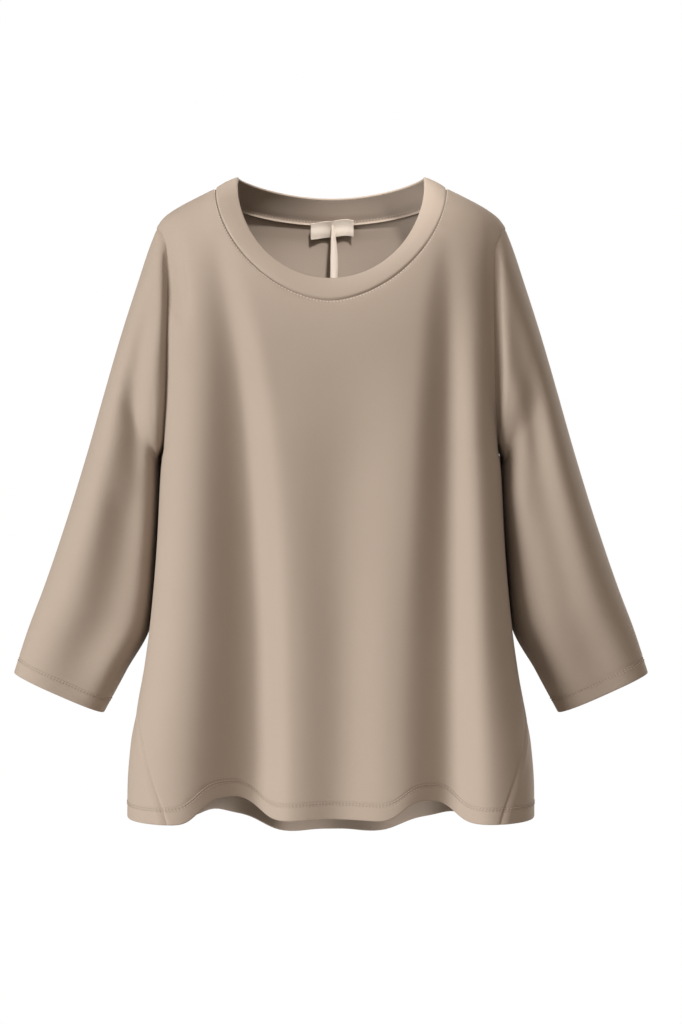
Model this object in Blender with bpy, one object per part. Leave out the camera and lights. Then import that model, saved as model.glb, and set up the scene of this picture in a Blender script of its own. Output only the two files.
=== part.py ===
"""Round-neck knitted sweater with long sleeves, filled out as it is worn, in metres.

Its front faces -Y, +Z is up and +X is the wearer's left. The origin is the middle of
the neck, level with the neck ends of the two shoulder seams.

Front, back, two sleeves, the neckband, the neck label and the ribbon loop are separate
pieces of cloth. The body is one smooth surface, read at an angle round the garment
(0 = front middle, 90 = wearer's left side, 180 = back middle) and at a height. Front and
back are cut out of it along the side, shoulder, neck and armhole seams.
"""
import math

import bpy
import numpy as np

# ---- cloth -------------------------------------------------------------------------
CLOTH = 0.0016            # one layer of the knit
DOUBLE_CLOTH = 0.0030     # two layers, in the turned-up hems and the neckband
SEAM_GAP = 0.0003         # between two pieces at a seam
HEM_DEPTH = 0.019         # width of the turned-up hem on body and cuffs
HEM_STEP = 0.0025         # height over which the second layer begins
MITRE_LIMIT = 1.6         # most that a wall may lengthen where two pieces meet in a crease
RIM_ORDER = np.array([0.37, 0.21, 1.0])   # direction that orders the points along an edge

# ---- grid of the pieces ------------------------------------------------------------
SHOULDER_COLUMNS = 5
NECK_COLUMNS = 24
ARMHOLE_ROWS = 11
SIDE_ROWS = 14
SLEEVE_RINGS = 24
DENSE = 240               # points used to measure a curve before it is divided evenly
SECTION_REACH = 150       # degrees from its middle line that a panel may reach
LEAST_RING_STEP = 0.02     # part of the sleeve's length left above the cuff's hem
SLEEVE_RING_GROWTH = 1.15  # above 1, the sleeve's rings lie closer together at its head


class PanelPlan:
    """How the rows of a panel spread between its four edges."""

    def __init__(self, armhole_share, side_hold):
        self.armhole_share = armhole_share    # part of its height that the armhole rows take
        self.side_hold = side_hold            # how quickly its side edges' shape fades inwards


FRONT_PLAN = PanelPlan(armhole_share=0.47, side_hold=8)
BACK_PLAN = PanelPlan(armhole_share=0.50, side_hold=5)


class Table:
    """Rows of named columns, read between rows on a smooth curve without overshoot."""

    def __init__(self, columns, rows):
        data = np.array(sorted(rows), dtype=float)
        self.keys = data[:, 0]
        self.values = {name: data[:, i] for i, name in enumerate(columns)}
        self.slopes = {name: self._slopes(data[:, i]) for i, name in enumerate(columns)}

    def _slopes(self, values):
        secants = np.diff(values) / np.diff(self.keys)
        slopes = np.zeros(len(values))
        slopes[0], slopes[-1] = secants[0], secants[-1]
        for i in range(1, len(values) - 1):
            before, after = secants[i - 1], secants[i]
            if before * after > 0:
                slopes[i] = 2 * before * after / (before + after)
        return slopes

    def at(self, name, key):
        key = np.asarray(key, dtype=float)
        values, slopes = self.values[name], self.slopes[name]
        i = np.clip(np.searchsorted(self.keys, key) - 1, 0, len(self.keys) - 2)
        step = self.keys[i + 1] - self.keys[i]
        inside = np.clip(key, self.keys[0], self.keys[-1])
        t = (inside - self.keys[i]) / step
        result = (
            (2 * t**3 - 3 * t**2 + 1) * values[i]
            + (t**3 - 2 * t**2 + t) * step * slopes[i]
            + (3 * t**2 - 2 * t**3) * values[i + 1]
            + (t**3 - t**2) * step * slopes[i + 1]
        )
        beyond = key - inside
        return result + beyond * np.where(beyond > 0, slopes[-1], slopes[0])


# ---- body form ---------------------------------------------------------------------
# Half width, depth to the front and to the back, how square the section is (2 = an
# ellipse), and how flat its front is, at heights from the hem up to the neck.
BODY = Table(
    ("height", "half_width", "front", "back", "square", "front_flat"),
    (
        (-0.690, 0.2095, 0.104, 0.108, 2.7, 4.2),
        (-0.620, 0.2090, 0.102, 0.106, 2.7, 4.4),
        (-0.573, 0.2055, 0.100, 0.104, 2.8, 4.6),
        (-0.531, 0.1975, 0.099, 0.102, 2.9, 4.6),
        (-0.448, 0.1855, 0.097, 0.098, 3.1, 4.6),
        (-0.365, 0.1785, 0.096, 0.096, 3.2, 4.6),
        (-0.300, 0.1755, 0.095, 0.097, 3.2, 4.4),
        (-0.283, 0.1740, 0.095, 0.097, 3.2, 4.4),
        (-0.270, 0.1720, 0.095, 0.097, 3.2, 4.4),
        (-0.200, 0.1735, 0.094, 0.096, 3.0, 4.0),
        (-0.120, 0.1775, 0.086, 0.092, 2.6, 3.2),
        (-0.060, 0.1815, 0.075, 0.084, 2.3, 2.5),
        (-0.043, 0.1815, 0.070, 0.080, 2.2, 2.2),
        (-0.036, 0.1780, 0.067, 0.077, 2.2, 2.2),
        (-0.030, 0.1730, 0.065, 0.075, 2.2, 2.2),
        (-0.024, 0.1650, 0.062, 0.072, 2.2, 2.2),
        (-0.018, 0.1550, 0.060, 0.068, 2.2, 2.2),
        (-0.011, 0.1420, 0.056, 0.062, 2.1, 2.1),
        (0.000, 0.1200, 0.050, 0.052, 2.1, 2.1),
    ),
)

# Long soft folds of the front and back. Each row gives, at a height, where a fold's right
# edge, its middle and its left edge lie, and how far it stands out there (minus = a
# trough). "lean" above 1 keeps the steep part of its flanks close to the middle.
FOLD_COLUMNS = ("height", "right_edge", "middle", "left_edge", "out")
FRONT_FOLDS = {
    "right_trough": (
        1.4,
        (
            (-0.052, -0.142, -0.119, -0.098, 0.000),
            (-0.123, -0.144, -0.105, -0.074, -0.009),
            (-0.183, -0.144, -0.094, -0.061, -0.015),
            (-0.243, -0.147, -0.087, -0.050, -0.020),
            (-0.304, -0.150, -0.083, -0.043, -0.023),
            (-0.364, -0.151, -0.080, -0.039, -0.026),
            (-0.485, -0.155, -0.075, -0.035, -0.028),
            (-0.565, -0.159, -0.075, -0.034, -0.030),
            (-0.656, -0.164, -0.079, -0.033, -0.031),
        ),
    ),
    "left_trough": (
        1.4,
        (
            (-0.052, 0.100, 0.120, 0.152, 0.000),
            (-0.123, 0.088, 0.119, 0.154, -0.008),
            (-0.183, 0.082, 0.119, 0.152, -0.013),
            (-0.243, 0.078, 0.118, 0.153, -0.018),
            (-0.304, 0.074, 0.118, 0.156, -0.020),
            (-0.364, 0.070, 0.118, 0.158, -0.022),
            (-0.485, 0.060, 0.120, 0.160, -0.024),
            (-0.565, 0.058, 0.120, 0.164, -0.026),
            (-0.656, 0.058, 0.118, 0.170, -0.028),
        ),
    ),
    "middle_trough": (
        1.0,
        (
            (-0.170, -0.041, 0.019, 0.078, 0.000),
            (-0.243, -0.046, 0.021, 0.078, -0.004),
            (-0.304, -0.043, 0.017, 0.072, -0.007),
            (-0.364, -0.040, 0.014, 0.068, -0.008),
            (-0.485, -0.034, 0.014, 0.060, -0.009),
            (-0.656, -0.034, 0.010, 0.058, -0.009),
        ),
    ),
    "right_ridge": (
        0.9,
        (
            (-0.110, -0.180, -0.148, -0.115, 0.000),
            (-0.250, -0.190, -0.149, -0.100, 0.004),
            (-0.440, -0.200, -0.154, -0.090, 0.008),
            (-0.656, -0.225, -0.166, -0.090, 0.012),
        ),
    ),
    "left_ridge": (
        0.9,
        (
            (-0.110, 0.118, 0.152, 0.184, 0.000),
            (-0.250, 0.110, 0.154, 0.190, 0.004),
            (-0.440, 0.100, 0.158, 0.200, 0.006),
            (-0.656, 0.100, 0.170, 0.225, 0.009),
        ),
    ),
}
BACK_FOLDS = {
    "right_trough": (
        1.2,
        (
            (-0.060, -0.150, -0.110, -0.070, 0.000),
            (-0.250, -0.158, -0.112, -0.062, -0.012),
            (-0.640, -0.154, -0.104, -0.048, -0.025),
        ),
    ),
    "left_trough": (
        1.2,
        (
            (-0.060, 0.060, 0.106, 0.150, 0.000),
            (-0.250, 0.060, 0.112, 0.158, -0.012),
            (-0.640, 0.052, 0.108, 0.156, -0.026),
        ),
    ),
    "middle_trough": (
        1.0,
        (
            (-0.160, -0.070, -0.018, 0.040, 0.000),
            (-0.320, -0.070, -0.012, 0.050, -0.006),
            (-0.640, -0.064, -0.004, 0.052, -0.013),
        ),
    ),
}
FOLD_ROUNDING = 0.0035            # half the width over which a fold's edges are softened
HEM_HEIGHT = -0.640
FOLD_SIDE_FADE = (0.10, 0.42)     # where folds fade out towards the sides, as cosines

# Height of the lower edge at angles from front middle to back middle.
HEM = Table(
    ("angle", "height"),
    (
        (0, -0.6440), (45, -0.6490), (90, -0.6475), (120, -0.6560), (140, -0.6660),
        (160, -0.6810), (180, -0.6810),
    ),
)
# Waves that lift the lower edge: middle, half widths to both sides, and height.
WAVE_COLUMNS = ("x", "toward_right", "toward_left", "rise")
FRONT_WAVES = ((-0.1035, 0.031, 0.033, 0.0250), (0.0990, 0.031, 0.028, 0.0210))
BACK_WAVES = (
    (-0.1070, 0.034, 0.037, 0.0200),
    (0.0000, 0.030, 0.030, 0.0040),
    (0.1080, 0.038, 0.036, 0.0165),
)
# Angle of each side seam at heights; near the hem both seams swing to the front.
SIDE_SEAM = Table(
    ("height", "right", "left"),
    (
        (-0.690, 43.0, 45.5),
        (-0.650, 45.5, 48.0),
        (-0.600, 53.0, 56.0),
        (-0.562, 61.0, 66.0),
        (-0.530, 75.0, 79.0),
        (-0.470, 88.0, 88.5),
        (-0.400, 90.0, 90.0),
        (-0.260, 90.0, 90.0),
    ),
)

# ---- neck, shoulders and armholes -----------------------------------------------------
NECK_HALF_WIDTH = 0.120           # of the neck seam, at the shoulder seams
FRONT_NECK_DROP = 0.1225
BACK_NECK_DROP = 0.029
NECK_ROUNDNESS = 1.78             # power of the curve; 2 = an ellipse
SHOULDER_TIP_HEIGHT = -0.043
ARMPIT_HEIGHT = -0.270
# Half distance between the armholes at heights, over the front and over the back.
ARMHOLE = Table(
    ("height", "front", "back"),
    (
        (-0.270, 0.1720, 0.1720),
        (-0.258, 0.1702, 0.1708),
        (-0.200, 0.1672, 0.1690),
        (-0.120, 0.1665, 0.1700),
        (-0.070, 0.1690, 0.1730),
        (-0.052, 0.1750, 0.1775),
        (-0.043, 0.1815, 0.1815),
    ),
)

# ---- neckband ----------------------------------------------------------------------------
BAND_TOP_HALF_WIDTH = 0.0968
BAND_TOP_SIDE_HEIGHT = 0.0125
BAND_TOP_FRONT = (-0.0790, -0.0995)    # y and z of the front middle of the top edge
BAND_TOP_BACK = (0.0620, -0.0020)
BAND_BACK_DIP = 1.9                    # power of the curve of its top edge at the back
BAND_FRONT_ROUNDNESS = 2.05            # and at the front; 2 = an ellipse
BAND_FRONT_FULLNESS = 3.0              # how far its sides come forward, seen from above
BAND_CROWN = 0.0012                    # how far the band bulges between its edges
BAND_ROWS = 4
BAND_PINCH = 0.28                      # part of its thickness taken off each face at the fold
BAND_FOLD_RISE = 0.0007                # height of the rounded fold above that
BAND_FOLD_HALF = 0.0003                # half thickness of the very edge

# ---- sleeves ------------------------------------------------------------------------------
# Each row is a ring of the sleeve: its outer and inner point seen from the front, its
# half depth front to back, how far it leans to the front, and how far its inner side
# lies behind its outer side.
SLEEVE = Table(
    ("along", "outer_x", "outer_z", "inner_x", "inner_z", "depth", "forward", "inner_back"),
    (
        (0.00, 0.1815, -0.043, 0.1720, -0.270, 0.0340, 0.000, 0.000),
        (0.05, 0.1895, -0.064, 0.1755, -0.2730, 0.0450, 0.002, 0.003),
        (0.11, 0.2000, -0.096, 0.1775, -0.2770, 0.0520, 0.005, 0.008),
        (0.21, 0.2162, -0.147, 0.1768, -0.2860, 0.0580, 0.009, 0.014),
        (0.33, 0.2343, -0.210, 0.1766, -0.3010, 0.0590, 0.017, 0.024),
        (0.45, 0.2522, -0.273, 0.1775, -0.3290, 0.0580, 0.026, 0.030),
        (0.58, 0.2738, -0.343, 0.1815, -0.3840, 0.0540, 0.030, 0.032),
        (0.72, 0.2970, -0.411, 0.1878, -0.4500, 0.0480, 0.026, 0.028),
        (0.86, 0.3155, -0.460, 0.2140, -0.5020, 0.0400, 0.014, 0.016),
        (1.00, 0.3295, -0.503, 0.2367, -0.5448, 0.0320, 0.004, 0.006),
    ),
)
SLEEVE_SQUARE = 2.2
SLEEVE_LENGTH = 0.50              # along its middle line
SLEEVE_SEAM_REACH = 0.30          # how far down the sleeve the armhole's own shape fades out
# Long folds of a sleeve. Each row gives, at a place along it, the fold's place round the
# ring (0 = outer side, 90 = front), its half width in degrees and how far it stands out to
# the front or back there.
SLEEVE_FOLD_COLUMNS = ("along", "angle", "half_width", "out")
SLEEVE_FOLDS = {
    "sleeve_right": {
        "front_trough": (
            (0.02, 55, 22, 0.000), (0.11, 62, 24, -0.006), (0.21, 78, 24, -0.009),
            (0.33, 94, 25, -0.010), (0.45, 99, 26, -0.010), (0.75, 103, 26, -0.009),
            (1.00, 100, 26, -0.002),
        ),
        "inner_ridge": (
            (0.06, 138, 24, 0.000), (0.18, 138, 26, 0.009), (0.30, 140, 28, 0.017),
            (0.42, 145, 29, 0.024), (0.58, 149, 30, 0.031), (0.75, 146, 30, 0.026),
            (1.00, 140, 26, 0.002),
        ),
        "back_trough": (
            (0.04, 255, 24, 0.000), (0.25, 255, 24, -0.004), (0.60, 260, 24, -0.008),
            (1.00, 262, 24, -0.002),
        ),
    },
    "sleeve_left": {
        "front_trough": (
            (0.02, 60, 22, 0.000), (0.11, 66, 22, -0.003), (0.21, 76, 22, -0.005),
            (0.45, 87, 22, -0.008), (0.75, 84, 22, -0.006), (1.00, 84, 22, -0.002),
        ),
        "inner_ridge": (
            (0.06, 140, 24, 0.000), (0.18, 138, 26, 0.009), (0.30, 138, 28, 0.016),
            (0.45, 138, 30, 0.022), (0.75, 136, 30, 0.019), (1.00, 130, 26, 0.002),
        ),
        "back_trough": (
            (0.04, 266, 24, 0.000), (0.25, 264, 24, -0.004), (0.60, 258, 24, -0.008),
            (1.00, 256, 24, -0.002),
        ),
    },
}

# ---- neck label and ribbon loop ----------------------------------------------------------
LABEL_WIDTH = 0.046
LABEL_TOP = -0.0235
LABEL_BOTTOM = -0.0405
LABEL_MIDDLE_X = 0.001
LABEL_THICKNESS = 0.0008
LABEL_CLEARANCE = 0.0005
LABEL_COLUMNS = 8
LABEL_ROWS = 5
RIBBON_WIDTH = 0.0052
RIBBON_THICKNESS = 0.0006
RIBBON_TOP = -0.0300
RIBBON_BOTTOM = -0.1080
RIBBON_SPREAD = 0.0030            # between the middles of the two legs of the loop
RIBBON_CLEARANCE = 0.0016         # from the label to the middle of the loop's back leg
RIBBON_TURN_STEPS = 8
RIBBON_LEG_STEPS = 9

COLOURS = {
    "body_front": (0.352, 0.283, 0.223),
    "body_back": (0.352, 0.283, 0.223),
    "sleeve_left": (0.347, 0.279, 0.220),
    "sleeve_right": (0.347, 0.279, 0.220),
    "neckband": (0.370, 0.300, 0.238),
    "neck_label": (0.760, 0.640, 0.530),
    "label_ribbon": (0.820, 0.700, 0.590),
}
CLOTH_ROUGHNESS = 0.85
RIBBON_ROUGHNESS = 0.45


# ---- small helpers -------------------------------------------------------------------------
def ease(low, high, value):
    """0 below low, 1 above high, with a smooth step between them."""
    t = np.clip((np.asarray(value, dtype=float) - low) / (high - low), 0, 1)
    return t * t * (3 - 2 * t)


def unit(vectors):
    return vectors / np.maximum(np.linalg.norm(vectors, axis=-1, keepdims=True), 1e-12)


def divide_evenly(points, count, *companions):
    """Read a dense polyline at count + 1 even distances, with its companion columns."""
    steps = np.linalg.norm(np.diff(points, axis=0), axis=1)
    length = np.concatenate([[0], np.cumsum(steps)])
    wanted = np.linspace(0, length[-1], count + 1)
    return [np.interp(wanted, length, column) for column in companions]


# ---- the body surface ----------------------------------------------------------------------
def fold_lines(folds):
    """The reading curves of each fold, with its lean and the height where it begins."""
    lines = []
    for lean, rows in folds.values():
        lines.append((lean, max(row[0] for row in rows), Table(FOLD_COLUMNS, rows)))
    return lines


def fold_profile(x, z, folds):
    """How far the folds move the cloth outwards at x and z."""
    total = np.zeros(np.broadcast(x, z).shape)
    for lean, top, fold in folds:
        middle = fold.at("middle", z)
        to_right = middle - fold.at("right_edge", z)
        to_left = fold.at("left_edge", z) - middle
        out = np.where(z < top, fold.at("out", z), 0.0)
        for shift in (-FOLD_ROUNDING, 0.0, FOLD_ROUNDING):
            away = x + shift - middle
            near = np.clip(1 - np.abs(away) / np.where(away < 0, to_right, to_left), 0, 1)
            total = total + out / 3 * ease(0, 1, near**lean)
    return total


FRONT_FOLD_LINES = fold_lines(FRONT_FOLDS)
BACK_FOLD_LINES = fold_lines(BACK_FOLDS)


def body_section(angle, z):
    """x and y of the body form without its folds; angle in degrees round the garment."""
    s, c = np.sin(np.radians(angle)), np.cos(np.radians(angle))
    square, flat = BODY.at("square", z), BODY.at("front_flat", z)
    reach = (np.abs(s) ** square + np.abs(c) ** square) ** (-1 / square)
    front = BODY.at("front", z) * (1 - np.clip(np.abs(s) * reach, 0, 1) ** flat) ** (1 / flat)
    y = np.where(c > 0, -front, -BODY.at("back", z) * c * reach)
    return BODY.at("half_width", z) * s * reach, y


def body_point(angle, z):
    """Point of the cloth's outer face."""
    angle, z = np.broadcast_arrays(np.asarray(angle, dtype=float), np.asarray(z, dtype=float))
    x, y = body_section(angle, z)
    c = np.cos(np.radians(angle))
    fade = ease(*FOLD_SIDE_FADE, np.abs(c))
    to_front = -fold_profile(x, z, FRONT_FOLD_LINES)
    to_back = fold_profile(x, z, BACK_FOLD_LINES)
    return np.stack([x, y + fade * np.where(c > 0, to_front, to_back), z], axis=-1)


def body_normal(angle, z):
    """Outward unit normal of the body surface."""
    d_angle, d_z = 0.05, 0.0002
    round_it = body_point(angle + d_angle, z) - body_point(angle - d_angle, z)
    up_it = body_point(angle, z + d_z) - body_point(angle, z - d_z)
    return unit(np.cross(round_it, up_it))


def angle_at(x, z, over_back):
    """Angle at which the unfolded body surface has this x."""
    square = BODY.at("square", z)
    t = np.clip(np.abs(x) / BODY.at("half_width", z), 0, 1)
    rest = (1 - t**square) ** (1 / square)
    angle = np.degrees(np.arctan2(t, rest))
    angle = 180 - angle if over_back else angle
    return np.where(x < 0, -angle, angle)


def hem_height(angle, x):
    """Height of the lower edge, lifted by its waves."""
    around = np.abs((np.asarray(angle, dtype=float) + 180) % 360 - 180)
    height = HEM.at("height", around)
    for rows, here in ((FRONT_WAVES, around < 90), (BACK_WAVES, around >= 90)):
        for row in rows:
            wave = dict(zip(WAVE_COLUMNS, row))
            away = x - wave["x"]
            width = np.where(away < 0, wave["toward_right"], wave["toward_left"])
            height = height + np.where(here, wave["rise"] * np.exp(-np.abs(away / width) ** 3), 0)
    return height


def girth_scale(z, over_back):
    """Turns from the panel's middle line and cloth lengths to them, along the section at z."""
    turn = np.linspace(0, SECTION_REACH, DENSE // 2)
    angle = 180 - turn if over_back else turn
    x, y = body_section(angle, z)
    length = np.concatenate([[0], np.cumsum(np.hypot(np.diff(x), np.diff(y)))])
    return turn, length


def to_flat(angle, z, over_back):
    """Cloth length from the panel's middle line, + to the wearer's left, for each point."""
    turn = 180 - angle if over_back else angle
    flat = []
    for t, height in zip(turn, z):
        turns, lengths = girth_scale(height, over_back)
        flat.append(math.copysign(np.interp(abs(t), turns, lengths), t))
    return np.array(flat)


def from_flat(flat, z, over_back):
    """Angle at which the cloth length from the panel's middle line is flat."""
    turns, lengths = girth_scale(z, over_back)
    turn = math.copysign(np.interp(abs(flat), lengths, turns), flat)
    return 180 - turn if over_back else turn


# ---- seam lines, as (angle, height) pairs ------------------------------------------------
def neckline(over_back):
    """Neck seam from the wearer's right shoulder to the left one."""
    turn = np.linspace(0, math.pi, DENSE)
    power = 2 / NECK_ROUNDNESS
    drop = BACK_NECK_DROP if over_back else FRONT_NECK_DROP
    x = -NECK_HALF_WIDTH * np.sign(np.cos(turn)) * np.abs(np.cos(turn)) ** power
    z = -drop * np.sin(turn) ** power
    angle = angle_at(x, z, over_back)
    angle[0], angle[-1] = -90, 90
    if over_back:
        angle = angle % 360
    return divide_evenly(body_point(angle, z), NECK_COLUMNS, angle, z)


def shoulder_seam():
    """Shoulder seam from the tip to the neck, at 90 degrees; heights only."""
    z = np.linspace(SHOULDER_TIP_HEIGHT, 0, DENSE)
    (z,) = divide_evenly(body_point(90, z), SHOULDER_COLUMNS, z)
    return z


def armhole(over_back):
    """Armhole seam on the wearer's left, from the shoulder tip to the armpit."""
    z = np.linspace(SHOULDER_TIP_HEIGHT, ARMPIT_HEIGHT, DENSE)
    x = ARMHOLE.at("back" if over_back else "front", z)
    angle = angle_at(x, z, over_back)
    angle[0] = angle[-1] = 90
    return divide_evenly(body_point(angle, z), ARMHOLE_ROWS, angle, z)


def side_seam(side):
    """Side seam from the armpit to the hem; side is -1 for the wearer's right, 1 for left."""
    column = "left" if side > 0 else "right"
    hem_angle = SIDE_SEAM.at(column, HEM_HEIGHT)
    hem_x = body_point(side * hem_angle, HEM_HEIGHT)[0]
    hem = float(hem_height(hem_angle, hem_x))
    z = np.linspace(ARMPIT_HEIGHT, hem + HEM_DEPTH + HEM_STEP, DENSE)
    angle = SIDE_SEAM.at(column, z)
    angle, z = divide_evenly(body_point(angle, z), SIDE_ROWS, angle, z)
    z = np.concatenate([z, [hem + HEM_DEPTH, hem]])
    return SIDE_SEAM.at(column, z), z


# ---- panels cut from the body surface -----------------------------------------------------
def panel_lines(over_back):
    """The four edges of the front or back panel as (angle, height) columns."""
    shoulder = shoulder_seam()
    neck_angle, neck_z = neckline(over_back)
    arm_angle, arm_z = armhole(over_back)
    right_angle, right_z = side_seam(-1)
    left_angle, left_z = side_seam(1)
    tip_right = np.full(SHOULDER_COLUMNS, -90.0 if not over_back else 270.0)
    tip_left = np.full(SHOULDER_COLUMNS, 90.0)
    top_angle = np.concatenate([tip_right, neck_angle, tip_left])
    top_z = np.concatenate([shoulder[:-1], neck_z, shoulder[-2::-1]])
    minus = (360 - arm_angle, 360 - right_angle) if over_back else (-arm_angle, -right_angle)
    right = (np.concatenate([minus[0], minus[1][1:]]), np.concatenate([arm_z, right_z[1:]]))
    left = (np.concatenate([arm_angle, left_angle[1:]]), np.concatenate([arm_z, left_z[1:]]))
    return (top_angle, top_z), right, left


def hem_line(start, end, lift, count):
    """Points along the lower edge from one side seam to the other, lift above it."""
    angle = np.linspace(start, end, DENSE)
    x = body_point(angle, HEM_HEIGHT)[:, 0]
    z = hem_height(angle, x) + lift
    angle, z = divide_evenly(body_point(angle, z), count, angle, z)
    return angle, z


def panel_grid(over_back):
    """Angle and height at every row and column of a panel.

    The panel is blended between its four edges as a flat pattern, in cloth lengths from
    its middle line, so that its columns spread as the cloth does.
    """
    (top_angle, top_z), right, left = panel_lines(over_back)
    columns = len(top_angle) - 1
    main_rows = ARMHOLE_ROWS + SIDE_ROWS
    plan = BACK_PLAN if over_back else FRONT_PLAN
    lifts = {main_rows: HEM_DEPTH + HEM_STEP, main_rows + 1: HEM_DEPTH, main_rows + 2: 0.0}
    hems = {}
    for row, lift in lifts.items():
        hems[row] = hem_line(right[0][row], left[0][row], lift, columns)
    bottom_angle, bottom_z = hems[main_rows]
    flat_top = to_flat(top_angle, top_z, over_back)
    flat_bottom = to_flat(bottom_angle, bottom_z, over_back)
    flat_right = to_flat(right[0][: main_rows + 1], right[1][: main_rows + 1], over_back)
    flat_left = to_flat(left[0][: main_rows + 1], left[1][: main_rows + 1], over_back)
    u = np.linspace(0, 1, columns + 1)
    angle = np.zeros((main_rows + 3, columns + 1))
    z = np.zeros_like(angle)
    flat = np.zeros_like(angle)
    for row in range(main_rows + 1):
        v = np.interp(row, (0, ARMHOLE_ROWS, main_rows), (0, plan.armhole_share, 1))
        for grid, top, bottom, side_r, side_l in (
            (flat, flat_top, flat_bottom, flat_right, flat_left),
            (z, top_z, bottom_z, right[1], left[1]),
        ):
            ruled = (1 - v) * top + v * bottom
            to_right = (side_r[row] - ruled[0]) * (1 - u) ** plan.side_hold
            to_left = (side_l[row] - ruled[-1]) * u**plan.side_hold
            grid[row] = ruled + to_right + to_left
        angle[row] = [from_flat(f, height, over_back) for f, height in zip(flat[row], z[row])]
    angle[0] = top_angle
    for row in (main_rows + 1, main_rows + 2):
        angle[row], z[row] = hems[row]
    for row in range(main_rows + 3):
        angle[row, 0], z[row, 0] = right[0][row], right[1][row]
        angle[row, -1], z[row, -1] = left[0][row], left[1][row]
    return angle, z


# ---- the sleeve surface --------------------------------------------------------------------
def even_ring(half_long, half_wide, count):
    """Superellipse read at even distances, as fractions along its two half axes."""
    turn = np.linspace(0, math.pi, DENSE)
    c, s = np.cos(turn), np.sin(turn)
    reach = (np.abs(c) ** SLEEVE_SQUARE + np.abs(s) ** SLEEVE_SQUARE) ** (-1 / SLEEVE_SQUARE)
    points = np.stack([half_long * c * reach, half_wide * s * reach], axis=-1)
    return divide_evenly(points, count, c * reach, s * reach, np.degrees(turn))


def sleeve_ring(along, name):
    """Points of one ring of the wearer's left sleeve: down its front, then up its back."""
    row = {key: float(SLEEVE.at(key, along)) for key in SLEEVE.values}
    outer = np.array([row["outer_x"], 0, row["outer_z"]])
    inner = np.array([row["inner_x"], 0, row["inner_z"]])
    middle, half = (outer + inner) / 2, (outer - inner) / 2
    size = float(np.linalg.norm(half))
    depth = row["depth"]
    long_part, wide_part, turn = even_ring(size, depth, ARMHOLE_ROWS)
    long_part = np.concatenate([long_part, long_part[-2:0:-1]])
    wide_part = np.concatenate([wide_part, -wide_part[-2:0:-1]])
    turn = np.concatenate([turn, 360 - turn[-2:0:-1]])
    ring = middle + long_part[:, None] * half
    inward = (1 - long_part) / 2
    ring[:, 1] -= wide_part * depth + row["forward"] * np.sin(np.radians(turn)) ** 2
    ring[:, 1] += row["inner_back"] * inward + sleeve_folds(turn, along, name)
    return ring


def sleeve_folds(turn, along, name):
    """How far a sleeve's folds move its cloth to the back at places round a ring."""
    shift = np.zeros(len(turn))
    for rows in SLEEVE_FOLDS[name].values():
        fold = Table(SLEEVE_FOLD_COLUMNS, rows)
        place = fold.at("angle", along)
        out = fold.at("out", along) if along > fold.keys[0] else 0.0
        away = (turn - place) / fold.at("half_width", along)
        shift += (-out if place < 180 else out) * np.exp(-(away**2))
    return shift


def armhole_loop():
    """The left armhole seam: down its front from the shoulder tip, then up its back."""
    front_angle, front_z = armhole(False)
    back_angle, back_z = armhole(True)
    front, back = body_point(front_angle, front_z), body_point(back_angle, back_z)
    angle = np.concatenate([front_angle, back_angle[-2:0:-1]])
    z = np.concatenate([front_z, back_z[-2:0:-1]])
    return np.concatenate([front, back[-2:0:-1]]), angle, z


def sleeve_grid(name):
    """Outer face of the wearer's left sleeve, ring by ring from the armhole to the cuff."""
    loop, _, _ = armhole_loop()
    stops = np.linspace(0, 1, SLEEVE_RINGS + 1) ** SLEEVE_RING_GROWTH
    cuff = 1 - np.array([HEM_DEPTH + HEM_STEP, HEM_DEPTH]) / SLEEVE_LENGTH
    stops = np.concatenate([stops[stops < cuff[0] - LEAST_RING_STEP], cuff, [1.0]])
    first = sleeve_ring(0.0, name)
    rings = []
    for along in stops:
        keep = 1 - ease(0, SLEEVE_SEAM_REACH, along)
        rings.append(sleeve_ring(along, name) + keep * (loop - first))
    return np.array(rings)


# ---- seam frames ------------------------------------------------------------------------------
def seam_frame(points, normal_a, normal_b):
    """Shared directions along a closed seam between piece a and piece b.

    Seen from outside, piece a lies on the right of the seam's run. Returns the outward
    direction of the walls' common end, the direction from a to b across the seam, and
    how much the walls lengthen to meet there.
    """
    run = unit(np.roll(points, -1, axis=0) - np.roll(points, 1, axis=0))
    cloth_a = unit(np.cross(run, normal_a))
    cloth_b = -unit(np.cross(run, normal_b))
    outside = unit(normal_a + normal_b + cloth_a + cloth_b)
    across = -unit(np.cross(run, outside))
    slant = np.abs(np.sum(cloth_a * across, axis=-1, keepdims=True))
    return outside, across, 1 / np.maximum(slant, 1 / MITRE_LIMIT)


def ring_normals(grid):
    """Outward normals of the left sleeve, whose rings run down the front and up the back."""
    down = np.gradient(grid, axis=0)
    along = np.roll(grid, -1, axis=1) - np.roll(grid, 1, axis=1)
    return unit(np.cross(along, down))


# ---- making the solids ---------------------------------------------------------------------
def rim_faces(points, a, b, count):
    """Two triangles closing a wall's edge from outer points a to b, in that turning sense.

    The edge is split from the same end on both sides of a seam, so that two walls that
    twist along it stay parallel.
    """
    inner_a, inner_b = count + a, count + b
    if points[a] @ RIM_ORDER > points[b] @ RIM_ORDER:
        return [(a, b, inner_b), (a, inner_b, inner_a)]
    return [(a, b, inner_a), (b, inner_b, inner_a)]


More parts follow.
